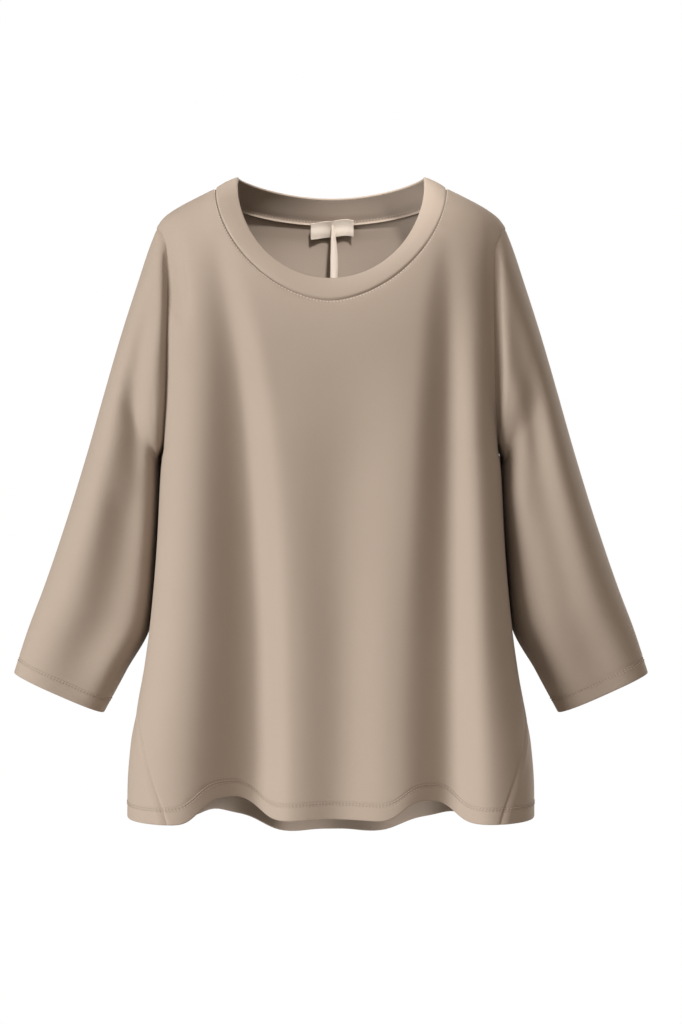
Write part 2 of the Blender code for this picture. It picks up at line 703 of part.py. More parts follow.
def wall_object(name, outer, inner, closed_round, flip=False):
    """Closed wall between two equal grids of points, as a named object."""
    rows, columns = outer.shape[:2]
    count = rows * columns
    points = np.concatenate([outer.reshape(-1, 3), inner.reshape(-1, 3)])
    spans = columns if closed_round else columns - 1
    faces = []
    for r in range(rows - 1):
        for c in range(spans):
            a, b = r * columns + c, r * columns + (c + 1) % columns
            faces.append((a, a + columns, b + columns, b))
            faces.append((count + a, count + b, count + b + columns, count + a + columns))
    last_row = (rows - 1) * columns
    for c in range(spans):
        a, b = c, (c + 1) % columns
        faces += rim_faces(points, a, b, count)
        faces += rim_faces(points, last_row + b, last_row + a, count)
    if not closed_round:
        for r in range(rows - 1):
            a, b = r * columns, (r + 1) * columns
            faces += rim_faces(points, b, a, count)
            faces += rim_faces(points, a + columns - 1, b + columns - 1, count)
    if flip:
        faces = [face[::-1] for face in faces]
    mesh = bpy.data.meshes.new(name)
    mesh.from_pydata(points.tolist(), [], faces)
    mesh.validate()
    mesh.shade_smooth()
    mesh.set_sharp_from_angle(angle=math.radians(50))
    item = bpy.data.objects.new(name, mesh)
    bpy.context.scene.collection.objects.link(item)
    mesh.materials.append(cloth_material(name))
    return item


def cloth_material(name):
    """Plain finish of one piece."""
    material = bpy.data.materials.new(name)
    material.use_nodes = True
    shader = material.node_tree.nodes["Principled BSDF"]
    shader.inputs["Base Color"].default_value = (*COLOURS[name], 1.0)
    rough = RIBBON_ROUGHNESS if name == "label_ribbon" else CLOTH_ROUGHNESS
    shader.inputs["Roughness"].default_value = rough
    shader.inputs["Metallic"].default_value = 0.0
    return material


def mirrored(points):
    return points * np.array([-1.0, 1.0, 1.0])


def armhole_frames(sleeve_name):
    """Seam frame of the left armhole, as seen from the body (a) to the sleeve (b)."""
    loop, angle, z = armhole_loop()
    grid = sleeve_grid(sleeve_name)
    sleeve_normals = ring_normals(grid)[0]
    return loop, seam_frame(loop, body_normal(angle, z), sleeve_normals)


def neck_frames():
    """Seam frame of the neck seam, from the body (a) to the neckband (b), all the way round."""
    front_angle, front_z = neckline(False)
    back_angle, back_z = neckline(True)
    angle = np.concatenate([front_angle, back_angle[-2:0:-1]])
    z = np.concatenate([front_z, back_z[-2:0:-1]])
    loop = body_point(angle, z)
    top = band_top(loop)
    run = np.roll(loop, -1, axis=0) - np.roll(loop, 1, axis=0)
    band_normals = unit(np.cross(run, top - loop))
    return loop, top, band_normals, seam_frame(loop, body_normal(angle, z), band_normals)


def band_top(loop):
    """Top edge of the neckband above each point of the neck seam."""
    across = np.clip(loop[:, 0] / NECK_HALF_WIDTH, -1, 1)
    front = loop[:, 1] < 0
    full, round_by = BAND_FRONT_FULLNESS, BAND_FRONT_ROUNDNESS
    y_front = BAND_TOP_FRONT[0] * (1 - np.abs(across) ** full) ** (1 / full)
    y_back = BAND_TOP_BACK[0] * np.sqrt(1 - across**2)
    drop_front = (1 - np.abs(across) ** round_by) ** (1 / round_by)
    drop = np.where(front, drop_front, 1 - np.abs(across) ** BAND_BACK_DIP)
    z_reach = np.where(front, BAND_TOP_FRONT[1], BAND_TOP_BACK[1])
    z = BAND_TOP_SIDE_HEIGHT + (z_reach - BAND_TOP_SIDE_HEIGHT) * drop
    return np.stack([across * BAND_TOP_HALF_WIDTH, np.where(front, y_front, y_back), z], axis=-1)


def make_body_panel(name, over_back, arm_frames, neck):
    """Front or back panel, ending half a seam gap short of every seam."""
    angle, z = panel_grid(over_back)
    outer = body_point(angle, z)
    normals = body_normal(angle, z)
    main_rows = ARMHOLE_ROWS + SIDE_ROWS
    thickness = np.full(outer.shape[:2] + (1,), CLOTH)
    thickness[main_rows + 1:] = DOUBLE_CLOTH
    inner = outer - thickness * normals
    half = SEAM_GAP / 2
    into = 1.0 if over_back else -1.0

    def settle(row, column, direction, across, stretch=1.0):
        base = body_point(angle[row, column], z[row, column])
        outer[row, column] = base + half * across
        inner[row, column] = base + half * across - thickness[row, column] * stretch * direction

    for column in (0, -1):
        for row in range(ARMHOLE_ROWS, main_rows + 3):
            settle(row, column, normals[row, column], side_shift(angle, z, row, column))
    for k in range(1, SHOULDER_COLUMNS + 1):
        for column in (k, -1 - k):
            settle(0, column, normals[0, column], np.array([0.0, into, 0.0]))
    for column, side in ((0, -1), (-1, 1)):
        loop, (outside, across, stretch) = arm_frames[side]
        for row in range(ARMHOLE_ROWS + 1):
            k = -row % len(loop) if over_back else row
            extra = np.array([0.0, into, 0.0]) if row in (0, ARMHOLE_ROWS) else np.zeros(3)
            settle(row, column, outside[k], -across[k] + extra, stretch[k])
    loop, _, _, (outside, across, stretch) = neck
    for k in range(NECK_COLUMNS + 1):
        column = SHOULDER_COLUMNS + k
        j = -k % len(loop) if over_back else k
        extra = np.array([0.0, into, 0.0]) if k in (0, NECK_COLUMNS) else np.zeros(3)
        settle(0, column, outside[j], -across[j] + extra, stretch[j])
    wall_object(name, outer, inner, False, flip=over_back)


def side_shift(angle, z, row, column):
    """Unit direction on the cloth, away from the side seam and into the panel."""
    here = body_point(angle[row, column], z[row, column])
    step = 1 if column == 0 else -1
    inside = body_point(angle[row, column + step], z[row, column + step])
    above = body_point(angle[row - 1, column], z[row - 1, column])
    run = unit(here - above)
    away = inside - here
    away = away - run * np.sum(away * run)
    normal = body_normal(angle[row, column], z[row, column])
    return unit(away - normal * np.sum(away * normal))


def make_sleeve(name, side, frames):
    """One sleeve with its turned-up cuff hem; built on the left and mirrored for the right."""
    grid = sleeve_grid(name)
    normals = ring_normals(grid)
    thickness = np.full(grid.shape[:2] + (1,), CLOTH)
    thickness[-2:] = DOUBLE_CLOTH
    inner = grid - thickness * normals
    loop, (outside, across, stretch) = frames
    start = loop + SEAM_GAP / 2 * across
    grid[0] = start
    inner[0] = start - CLOTH * stretch * outside
    if side < 0:
        grid, inner = mirrored(grid), mirrored(inner)
    wall_object(name, grid, inner, True, flip=side > 0)


def make_neckband(neck):
    """Band of doubled cloth with a round folded top edge."""
    loop, top, band_normals, (outside, across, stretch) = neck
    start = loop + SEAM_GAP / 2 * across
    outer_rows, inner_rows = [start], [start - CLOTH * stretch * outside]
    for row in range(1, BAND_ROWS + 1):
        v = row / BAND_ROWS
        bulge = BAND_CROWN * math.sin(math.pi * v)
        full = CLOTH + (DOUBLE_CLOTH - CLOTH) * min(1.0, 2 * v)
        flat = start + (top - start) * v
        pinch = BAND_PINCH if row == BAND_ROWS else 0.0
        outer_rows.append(flat + band_normals * (bulge - pinch * full))
        inner_rows.append(flat + band_normals * (bulge - (1 - pinch) * full))
    crest = (outer_rows[-1] + inner_rows[-1]) / 2 + unit(top - loop) * BAND_FOLD_RISE
    outer_rows.append(crest + band_normals * BAND_FOLD_HALF)
    inner_rows.append(crest - band_normals * BAND_FOLD_HALF)
    wall_object("neckband", np.array(outer_rows[::-1]), np.array(inner_rows[::-1]), True)


def make_label():
    """Bare neck label lying over the neck seam inside the back."""
    x = LABEL_MIDDLE_X + np.linspace(-LABEL_WIDTH / 2, LABEL_WIDTH / 2, LABEL_COLUMNS + 1)
    z = np.linspace(LABEL_TOP, LABEL_BOTTOM, LABEL_ROWS + 1)
    x_grid, z_grid = np.meshgrid(x, z)
    angle = angle_at(x_grid, z_grid, True) % 360
    under = body_point(angle, z_grid)
    normals = body_normal(angle, z_grid)
    seat = DOUBLE_CLOTH + LABEL_CLEARANCE
    face = under - (seat + LABEL_THICKNESS) * normals
    back = under - seat * normals
    wall_object("neck_label", face, back, False)


def make_ribbon():
    """Narrow ribbon folded into a loop that hangs from the middle of the label."""
    hang = body_point(angle_at(LABEL_MIDDLE_X, RIBBON_TOP, True), RIBBON_TOP)
    label_face = float(hang[1]) - DOUBLE_CLOTH - LABEL_CLEARANCE - LABEL_THICKNESS
    y_back = label_face - RIBBON_CLEARANCE
    y_front = y_back - RIBBON_SPREAD
    middle_y = (y_back + y_front) / 2
    radius = RIBBON_SPREAD / 2
    down = np.linspace(RIBBON_TOP, RIBBON_BOTTOM, RIBBON_LEG_STEPS)
    turn = np.linspace(0, math.pi, RIBBON_TURN_STEPS + 1)[1:-1]
    path = [(y_back, z) for z in down]
    for t in turn:
        path.append((middle_y + radius * math.cos(t), RIBBON_BOTTOM - radius * math.sin(t)))
    path += [(y_front, z) for z in down[::-1]]
    path = np.array(path)
    run = unit(np.gradient(path, axis=0))
    side = np.stack([run[:, 1], -run[:, 0]], axis=-1) * RIBBON_THICKNESS / 2
    width = np.array([-1, 1]) * RIBBON_WIDTH / 2 + LABEL_MIDDLE_X
    faces = []
    for line in (path + side, path - side):
        edges = [np.column_stack([np.full(len(line), w), line]) for w in width]
        faces.append(np.stack(edges, axis=1))
    wall_object("label_ribbon", faces[0], faces[1], False)


def clear_scene():
    for item in list(bpy.data.objects):
        bpy.data.objects.remove(item, do_unlink=True)


def main():
    clear_scene()
    right_frames = armhole_frames("sleeve_right")
    left_frames = armhole_frames("sleeve_left")
    loop, (outside, across, stretch) = right_frames
    arm_frames = {
        1: left_frames,
        -1: (mirrored(loop), (mirrored(outside), mirrored(across), stretch)),
    }
    neck = neck_frames()
    make_body_panel("body_front", False, arm_frames, neck)
    make_body_panel("body_back", True, arm_frames, neck)
    make_sleeve("sleeve_left", 1, left_frames)
    make_sleeve("sleeve_right", -1, right_frames)
    make_neckband(neck)
    make_label()
    make_ribbon()


main()
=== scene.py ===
"""Round-neck knitted sweater with long sleeves, filled out as it is worn: its looks.

The front faces -Y, +Z is up and +X is the wearer's left. Sizes are in metres. The script
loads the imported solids, replaces each with a fine shell of the same form, and adds the
sewing, the floor, the lights and the camera.
"""

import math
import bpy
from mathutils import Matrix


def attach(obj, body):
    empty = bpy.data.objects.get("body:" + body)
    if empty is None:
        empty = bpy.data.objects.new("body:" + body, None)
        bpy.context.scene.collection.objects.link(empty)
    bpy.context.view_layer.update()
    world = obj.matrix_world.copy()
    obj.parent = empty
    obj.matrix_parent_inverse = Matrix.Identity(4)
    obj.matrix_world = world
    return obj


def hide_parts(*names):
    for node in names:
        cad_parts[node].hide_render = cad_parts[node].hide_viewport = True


bl_info = {
    "name": "Round-neck sweater",
    "version": (1, 0, 0),
    "blender": (4, 5, 0),
    "location": "3D View > Sidebar > Sweater",
    "description": "Builds the cloth, sewing and studio of a round-neck sweater",
    "category": "Object",
}

import bpy
import numpy as np
from bpy.props import FloatProperty, FloatVectorProperty, PointerProperty
from bpy.types import Operator, Panel, PropertyGroup
from mathutils import Vector

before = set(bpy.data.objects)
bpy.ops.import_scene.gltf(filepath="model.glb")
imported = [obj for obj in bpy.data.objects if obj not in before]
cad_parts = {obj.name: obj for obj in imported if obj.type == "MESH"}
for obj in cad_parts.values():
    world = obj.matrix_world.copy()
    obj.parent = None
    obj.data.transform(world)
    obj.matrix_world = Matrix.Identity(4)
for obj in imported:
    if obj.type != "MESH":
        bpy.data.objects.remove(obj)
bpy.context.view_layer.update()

# ---- grid ----
SHOULDER_COLUMNS = 5      # columns of the solids' grid, which the fine grids divide
NECK_COLUMNS = 24
ARMHOLE_ROWS = 11
SIDE_ROWS = 14
FINE_COLUMNS = 4          # fine columns and rows for one of the solids' grid
FINE_ROWS = 5
DENSE = 960               # points used to measure a curve before it is divided
SECTION_REACH = 150       # degrees from its middle line that a panel may reach
SECTION_TURNS = 301       # angles and heights at which cloth lengths round the body are kept
SECTION_HEIGHTS = (-0.70, 0.0, 351)
FRONT_SPREAD = (0.47, 8)  # part of a panel's height that the armhole rows take, and how
BACK_SPREAD = (0.50, 5)   # quickly its side edges' shape fades inwards
SEAM_STEPS = (0.0, 0.0007, 0.0014, 0.0022, 0.0032, 0.0045)   # grid lines beside an edge
HEM_DEPTH = 0.019
HEM_STEP = 0.0025         # height over which a hem's double cloth thins to one layer
HEM_STEP_ROWS = (0.0, 0.4, 0.8, 1.0)   # rows through that step, as parts of it
# Grid lines above a lower edge: close together round the fold and at the stitched lines.
HEM_LINES = (
    0.0, 0.0002, 0.0005, 0.0009, 0.0014, 0.003, 0.0055, 0.0085, 0.0115, 0.0138, 0.0145,
    0.0152, 0.0159, 0.0169, 0.0176, 0.0183,
)
TOO_NEAR = 0.35           # part of a fine cell within which a plain grid line is left out
PANEL_GIRTH = 0.40        # about a panel's width and one row's height, which place the
PANEL_ROW = 0.022         # grid lines beside its seams
FINE_RINGS = 168          # rings of a sleeve, closer together at its head
SLEEVE_RING_GROWTH = 1.15
RING_CLEAR = (0.002, 0.003)   # parts of a sleeve kept free beside its seam and hem lines
ARM_PARTS = np.linspace(0, 1, 7 * ARMHOLE_ROWS + 1)    # places along half an armhole
NECK_PARTS = np.linspace(0, 1, 4 * NECK_COLUMNS + 1)   # and along half the neck seam


class Table:
    """Rows of named columns, read between rows on a smooth curve without overshoot."""

    def __init__(self, columns, rows):
        data = np.array(sorted(rows), dtype=float)
        self.keys = data[:, 0]
        self.values = {name: data[:, i] for i, name in enumerate(columns)}
        self.slopes = {name: self._slopes(data[:, i]) for i, name in enumerate(columns)}

    def _slopes(self, values):
        secants = np.diff(values) / np.diff(self.keys)
        slopes = np.zeros(len(values))
        slopes[0], slopes[-1] = secants[0], secants[-1]
        for i in range(1, len(values) - 1):
            before, after = secants[i - 1], secants[i]
            if before * after > 0:
                slopes[i] = 2 * before * after / (before + after)
        return slopes

    def at(self, name, key):
        key = np.asarray(key, dtype=float)
        values, slopes = self.values[name], self.slopes[name]
        i = np.clip(np.searchsorted(self.keys, key) - 1, 0, len(self.keys) - 2)
        step = self.keys[i + 1] - self.keys[i]
        inside = np.clip(key, self.keys[0], self.keys[-1])
        t = (inside - self.keys[i]) / step
        result = (
            (2 * t**3 - 3 * t**2 + 1) * values[i]
            + (t**3 - 2 * t**2 + t) * step * slopes[i]
            + (3 * t**2 - 2 * t**3) * values[i + 1]
            + (t**3 - t**2) * step * slopes[i + 1]
        )
        beyond = key - inside
        return result + beyond * np.where(beyond > 0, slopes[-1], slopes[0])


# ---- body form ----
# Half width, depth to the front and to the back, how square the section is (2 = an
# ellipse), and how flat its front is, at heights from the hem up to the neck.
BODY = Table(
    ("height", "half_width", "front", "back", "square", "front_flat"),
    (
        (-0.690, 0.2095, 0.104, 0.108, 2.7, 4.2),
        (-0.620, 0.2090, 0.102, 0.106, 2.7, 4.4),
        (-0.573, 0.2055, 0.100, 0.104, 2.8, 4.6),
        (-0.531, 0.1975, 0.099, 0.102, 2.9, 4.6),
        (-0.448, 0.1855, 0.097, 0.098, 3.1, 4.6),
        (-0.365, 0.1785, 0.096, 0.096, 3.2, 4.6),
        (-0.300, 0.1755, 0.095, 0.097, 3.2, 4.4),
        (-0.283, 0.1740, 0.095, 0.097, 3.2, 4.4),
        (-0.270, 0.1720, 0.095, 0.097, 3.2, 4.4),
        (-0.200, 0.1735, 0.094, 0.096, 3.0, 4.0),
        (-0.120, 0.1775, 0.086, 0.092, 2.6, 3.2),
        (-0.060, 0.1815, 0.075, 0.084, 2.3, 2.5),
        (-0.043, 0.1815, 0.070, 0.080, 2.2, 2.2),
        (-0.036, 0.1780, 0.067, 0.077, 2.2, 2.2),
        (-0.030, 0.1730, 0.065, 0.075, 2.2, 2.2),
        (-0.024, 0.1650, 0.062, 0.072, 2.2, 2.2),
        (-0.018, 0.1550, 0.060, 0.068, 2.2, 2.2),
        (-0.011, 0.1420, 0.056, 0.062, 2.1, 2.1),
        (0.000, 0.1200, 0.050, 0.052, 2.1, 2.1),
    ),
)

# Long soft folds of the front and back. Each row gives, at a height, where a fold's right
# edge, its middle and its left edge lie, and how far it stands out there (minus = a
# trough). "lean" above 1 keeps the steep part of its flanks close to the middle.
FOLD_COLUMNS = ("height", "right_edge", "middle", "left_edge", "out")
FRONT_FOLDS = {
    "right_trough": (
        1.4,
        (
            (-0.052, -0.142, -0.119, -0.098, 0.000), (-0.123, -0.144, -0.105, -0.074, -0.009),
            (-0.183, -0.144, -0.094, -0.061, -0.015), (-0.243, -0.147, -0.087, -0.050, -0.020),
            (-0.304, -0.150, -0.083, -0.043, -0.023), (-0.364, -0.151, -0.080, -0.039, -0.026),
            (-0.485, -0.155, -0.075, -0.035, -0.028), (-0.565, -0.159, -0.075, -0.034, -0.030),
            (-0.656, -0.164, -0.079, -0.033, -0.031),
        ),
    ),
    "left_trough": (
        1.4,
        (
            (-0.052, 0.100, 0.120, 0.152, 0.000), (-0.123, 0.088, 0.119, 0.154, -0.008),
            (-0.183, 0.082, 0.119, 0.152, -0.013), (-0.243, 0.078, 0.118, 0.153, -0.018),
            (-0.304, 0.074, 0.118, 0.156, -0.020), (-0.364, 0.070, 0.118, 0.158, -0.022),
            (-0.485, 0.060, 0.120, 0.160, -0.024), (-0.565, 0.058, 0.120, 0.164, -0.026),
            (-0.656, 0.058, 0.118, 0.170, -0.028),
        ),
    ),
    "middle_trough": (
        1.0,
        (
            (-0.170, -0.041, 0.019, 0.078, 0.000), (-0.243, -0.046, 0.021, 0.078, -0.004),
            (-0.304, -0.043, 0.017, 0.072, -0.007), (-0.364, -0.040, 0.014, 0.068, -0.008),
            (-0.485, -0.034, 0.014, 0.060, -0.009), (-0.656, -0.034, 0.010, 0.058, -0.009),
        ),
    ),
    "right_ridge": (
        0.9,
        (
            (-0.110, -0.180, -0.148, -0.115, 0.000), (-0.250, -0.190, -0.149, -0.100, 0.004),
            (-0.440, -0.200, -0.154, -0.090, 0.008), (-0.656, -0.225, -0.166, -0.090, 0.012),
        ),
    ),
    "left_ridge": (
        0.9,
        (
            (-0.110, 0.118, 0.152, 0.184, 0.000), (-0.250, 0.110, 0.154, 0.190, 0.004),
            (-0.440, 0.100, 0.158, 0.200, 0.006), (-0.656, 0.100, 0.170, 0.225, 0.009),
        ),
    ),
}
BACK_FOLDS = {
    "right_trough": (
        1.2,
        (
            (-0.060, -0.150, -0.110, -0.070, 0.000), (-0.250, -0.158, -0.112, -0.062, -0.012),
            (-0.640, -0.154, -0.104, -0.048, -0.025),
        ),
    ),
    "left_trough": (
        1.2,
        (
            (-0.060, 0.060, 0.106, 0.150, 0.000), (-0.250, 0.060, 0.112, 0.158, -0.012),
            (-0.640, 0.052, 0.108, 0.156, -0.026),
        ),
    ),
    "middle_trough": (
        1.0,
        (
            (-0.160, -0.070, -0.018, 0.040, 0.000), (-0.320, -0.070, -0.012, 0.050, -0.006),
            (-0.640, -0.064, -0.004, 0.052, -0.013),
        ),
    ),
}
FOLD_ROUNDING = 0.0035            # half the width over which a fold's edges are softened
FOLD_SIDE_FADE = (0.10, 0.42)     # where folds fade out towards the sides, as cosines

HEM_HEIGHT = -0.640               # where the body's width is read to place the lower edge
# Height of the lower edge at angles from front middle to back middle.
HEM = Table(
    ("angle", "height"),
    (
        (0, -0.6440), (45, -0.6490), (90, -0.6475), (120, -0.6560), (140, -0.6660),
        (160, -0.6810), (180, -0.6810),
    ),
)
# Waves that lift the lower edge: middle, half widths to both sides, and height.
WAVE_COLUMNS = ("x", "toward_right", "toward_left", "rise")
FRONT_WAVES = ((-0.1035, 0.031, 0.033, 0.0250), (0.0990, 0.031, 0.028, 0.0210))
BACK_WAVES = (
    (-0.1070, 0.034, 0.037, 0.0200),
    (0.0000, 0.030, 0.030, 0.0040),
    (0.1080, 0.038, 0.036, 0.0165),
)
# Angle of each side seam at heights; near the hem both seams swing to the front.
SIDE_SEAM = Table(
    ("height", "right", "left"),
    (
        (-0.690, 43.0, 45.5),
        (-0.650, 45.5, 48.0),
        (-0.600, 53.0, 56.0),
        (-0.562, 61.0, 66.0),
        (-0.530, 75.0, 79.0),
        (-0.470, 88.0, 88.5),
        (-0.400, 90.0, 90.0),
        (-0.260, 90.0, 90.0),
    ),
)

# ---- neck, shoulders and armholes ----
NECK_HALF_WIDTH = 0.120           # of the neck seam, at the shoulder seams
FRONT_NECK_DROP = 0.1225
BACK_NECK_DROP = 0.029
NECK_ROUNDNESS = 1.78             # power of the curve; 2 = an ellipse
SHOULDER_TIP_HEIGHT = -0.043
ARMPIT_HEIGHT = -0.270
# Half distance between the armholes at heights, over the front and over the back.
ARMHOLE = Table(
    ("height", "front", "back"),
    (
        (-0.270, 0.1720, 0.1720),
        (-0.258, 0.1702, 0.1708),
        (-0.200, 0.1672, 0.1690),
        (-0.120, 0.1665, 0.1700),
        (-0.070, 0.1690, 0.1730),
        (-0.052, 0.1750, 0.1775),
        (-0.043, 0.1815, 0.1815),
    ),
)

# ---- neckband ----
BAND_TOP_HALF_WIDTH = 0.0968
BAND_TOP_SIDE_HEIGHT = 0.0125
BAND_TOP_FRONT = (-0.0790, -0.0995)    # y and z of the front middle of the top edge
BAND_TOP_BACK = (0.0620, -0.0020)
BAND_BACK_DIP = 1.9                    # power of the curve of its top edge at the back
BAND_FRONT_ROUNDNESS = 2.05            # and at the front; 2 = an ellipse
BAND_FRONT_FULLNESS = 3.0              # how far its sides come forward, seen from above
BAND_CROWN = 0.0012                    # how far the band bulges between its edges
BAND_FROM_SEAM = (0.0, 0.0007, 0.0014, 0.0022, 0.0035, 0.0055, 0.008, 0.011, 0.0140)
BAND_FROM_TOP = (0.0070, 0.0045, 0.0030, 0.0020, 0.0013, 0.0008, 0.0004, 0.00015, 0.0)
BAND_DOUBLING = 0.4                    # part of its height over which it reaches full thickness
BAND_GIRTH = 0.70                      # cloth length round the band and round a sleeve, for
SLEEVE_GIRTH = 0.46                    # the knit's place on them

# ---- sleeves ----
# Each row is a ring of the sleeve: its outer and inner point seen from the front, its
# half depth front to back, how far it leans to the front, and how far its inner side
# lies behind its outer side.
SLEEVE = Table(
    ("along", "outer_x", "outer_z", "inner_x", "inner_z", "depth", "forward", "inner_back"),
    (
        (0.00, 0.1815, -0.043, 0.1720, -0.270, 0.0340, 0.000, 0.000),
        (0.05, 0.1895, -0.064, 0.1755, -0.2730, 0.0450, 0.002, 0.003),
        (0.11, 0.2000, -0.096, 0.1775, -0.2770, 0.0520, 0.005, 0.008),
        (0.21, 0.2162, -0.147, 0.1768, -0.2860, 0.0580, 0.009, 0.014),
        (0.33, 0.2343, -0.210, 0.1766, -0.3010, 0.0590, 0.017, 0.024),
        (0.45, 0.2522, -0.273, 0.1775, -0.3290, 0.0580, 0.026, 0.030),
        (0.58, 0.2738, -0.343, 0.1815, -0.3840, 0.0540, 0.030, 0.032),
        (0.72, 0.2970, -0.411, 0.1878, -0.4500, 0.0480, 0.026, 0.028),
        (0.86, 0.3155, -0.460, 0.2140, -0.5020, 0.0400, 0.014, 0.016),
        (1.00, 0.3295, -0.503, 0.2367, -0.5448, 0.0320, 0.004, 0.006),
    ),
)
SLEEVE_SQUARE = 2.2               # how square its rings are; 2 = an ellipse
SLEEVE_LENGTH = 0.50              # along its middle line
SLEEVE_SEAM_REACH = 0.30          # how far down the sleeve the armhole's own shape fades out
SLEEVE_HEAD = np.array((0.0, 0.01, 0.02))   # rings that give the sleeve's direction at its seam
# Long folds of a sleeve. Each row gives, at a place along it, the fold's place round the
# ring (0 = outer side, 90 = front), its half width in degrees and how far it stands out to
# the front or back there.
SLEEVE_FOLD_COLUMNS = ("along", "angle", "half_width", "out")
SLEEVE_FOLDS = {
    "sleeve_right": {
        "front_trough": (
            (0.02, 55, 22, 0.000), (0.11, 62, 24, -0.006), (0.21, 78, 24, -0.009),
            (0.33, 94, 25, -0.010), (0.45, 99, 26, -0.010), (0.75, 103, 26, -0.009),
            (1.00, 100, 26, -0.002),
        ),
        "inner_ridge": (
            (0.06, 138, 24, 0.000), (0.18, 138, 26, 0.009), (0.30, 140, 28, 0.017),
            (0.42, 145, 29, 0.024), (0.58, 149, 30, 0.031), (0.75, 146, 30, 0.026),
            (1.00, 140, 26, 0.002),
        ),
        "back_trough": (
            (0.04, 255, 24, 0.000), (0.25, 255, 24, -0.004), (0.60, 260, 24, -0.008),
            (1.00, 262, 24, -0.002),
        ),
    },
    "sleeve_left": {
        "front_trough": (
            (0.02, 60, 22, 0.000), (0.11, 66, 22, -0.003), (0.21, 76, 22, -0.005),
            (0.45, 87, 22, -0.008), (0.75, 84, 22, -0.006), (1.00, 84, 22, -0.002),
        ),
        "inner_ridge": (
            (0.06, 140, 24, 0.000), (0.18, 138, 26, 0.009), (0.30, 138, 28, 0.016),
            (0.45, 138, 30, 0.022), (0.75, 136, 30, 0.019), (1.00, 130, 26, 0.002),
        ),
        "back_trough": (
            (0.04, 266, 24, 0.000), (0.25, 264, 24, -0.004), (0.60, 258, 24, -0.008),
            (1.00, 256, 24, -0.002),
        ),
    },
}

# ---- neck label and ribbon loop ----
LABEL_WIDTH = 0.046
LABEL_TOP = -0.0235
LABEL_BOTTOM = -0.0405
LABEL_MIDDLE_X = 0.001
LABEL_GRID = (25, 61)             # rows and columns
LABEL_THICKNESS = 0.0005
LABEL_SEAT = 0.0045               # from the back panel's outer face to the label's back
LABEL_CURL = 0.0010               # how far its ends lift off
LABEL_CURL_POWER = 6              # how sharply they do
LABEL_RIPPLE = (0.0007, 260, 1.0)   # ripples of its face: height, rate and start
LABEL_PUCKER = 0.0010             # height of the ridge where the ribbon is sewn in
LABEL_PUCKER_WIDTH = 0.0035
LABEL_TILT = 0.0010               # how much lower or higher each end lies than its middle
LABEL_WAVE = (0.0012, 90, 0.6)    # waves of its edges up and down: height, rate and start
RIBBON_TOP = -0.0300
RIBBON_BOTTOM = -0.1080
RIBBON_SEAT = 0.0055              # from the back panel's outer face to the loop's back leg
RIBBON_GAP = 0.0020               # between the two legs, front to back
RIBBON_TURN = 0.0010              # half depth of the turn at the loop's lower end
RIBBON_FRONT_WAVE = (0.0006, 3, 0)   # sideways waves of the legs: height, rate and start
RIBBON_BACK_WAVE = (0.0034, math.pi, 0)
RIBBON_BACK_SHIFT = 0.001         # how far the back leg lies to the wearer's left
RIBBON_THICKNESS = 0.00045
RIBBON_CUP = 0.0005               # how far its middle bulges between its edges
RIBBON_LEG_POINTS = 40
RIBBON_TURN_POINTS = 9            # with the two that belong to the legs
RIBBON_COLUMNS = 9
RIBBON_WIDTH = 0.0052             # for the weave's place on it
# Width of the ribbon, and its turn about the upright in radians, at places along it: 0 is
# the top of the front leg, 1 the lower end and 2 the top of the back leg.
RIBBON_WIDTHS = ((0, 0.12, 0.4, 1, 2), (0.0016, 0.0030, 0.0050, 0.0052, 0.0048))
RIBBON_TURNS = ((0, 0.9, 1.15, 2), (0.15, 0.1, 0.6, 1.2))

# ---- small helpers ----
def ease(low, high, value):
    """0 below low, 1 above high, with a smooth step between them."""
    t = np.clip((np.asarray(value, dtype=float) - low) / (high - low), 0, 1)
    return t * t * (3 - 2 * t)


def unit(vectors):
    """The vectors scaled to length 1."""
    return vectors / np.maximum(np.linalg.norm(vectors, axis=-1, keepdims=True), 1e-12)


def turned(directions, target, part):
    """Directions turned to the target ones by a part, 0 to 1."""
    return unit(directions * (1 - part) + target * part)


def wave(x, height, rate, start):
    """A sine wave along x."""
    return height * np.sin(x * rate + start)


def lengths_along(points, axis=0):
    """Distances from the first point along a line, or along a grid's columns or rows."""
    steps = np.linalg.norm(np.diff(points, axis=axis), axis=-1)
    total = np.cumsum(steps, axis=axis)
    return np.concatenate([np.zeros_like(np.take(total, [0], axis=axis)), total], axis=axis)


def both_halves(front, back):
    """Join a front and a back half that share both their ends to one loop."""
    return np.concatenate([front, back[-2:0:-1]])


def run_round(points, axis=0):
    """From each point's neighbour before it to the one after it, round a closed line."""
    return np.roll(points, -1, axis=axis) - np.roll(points, 1, axis=axis)


def divide(points, parts, *companions):
    """Read a dense line at parts (0 to 1) of its length, with its companion columns."""
    length = lengths_along(points)
    return [np.interp(np.asarray(parts) * length[-1], length, column) for column in companions]


# ---- the body surface ----
def fold_lines(folds):
    """The reading curves of each fold, with its lean and the height where it begins."""
    lines = []
    for lean, rows in folds.values():
        lines.append((lean, max(row[0] for row in rows), Table(FOLD_COLUMNS, rows)))
    return lines


def fold_profile(x, z, folds):
    """How far the folds move the cloth outwards at x and z."""
    total = np.zeros(np.broadcast(x, z).shape)
    for lean, top, fold in folds:
        middle = fold.at("middle", z)
        to_right = middle - fold.at("right_edge", z)
        to_left = fold.at("left_edge", z) - middle
        out = np.where(z < top, fold.at("out", z), 0.0)
        for shift in (-FOLD_ROUNDING, 0.0, FOLD_ROUNDING):
            away = x + shift - middle
            near = np.clip(1 - np.abs(away) / np.where(away < 0, to_right, to_left), 0, 1)
            total = total + out / 3 * ease(0, 1, near**lean)
    return total


FRONT_FOLD_LINES = fold_lines(FRONT_FOLDS)
BACK_FOLD_LINES = fold_lines(BACK_FOLDS)


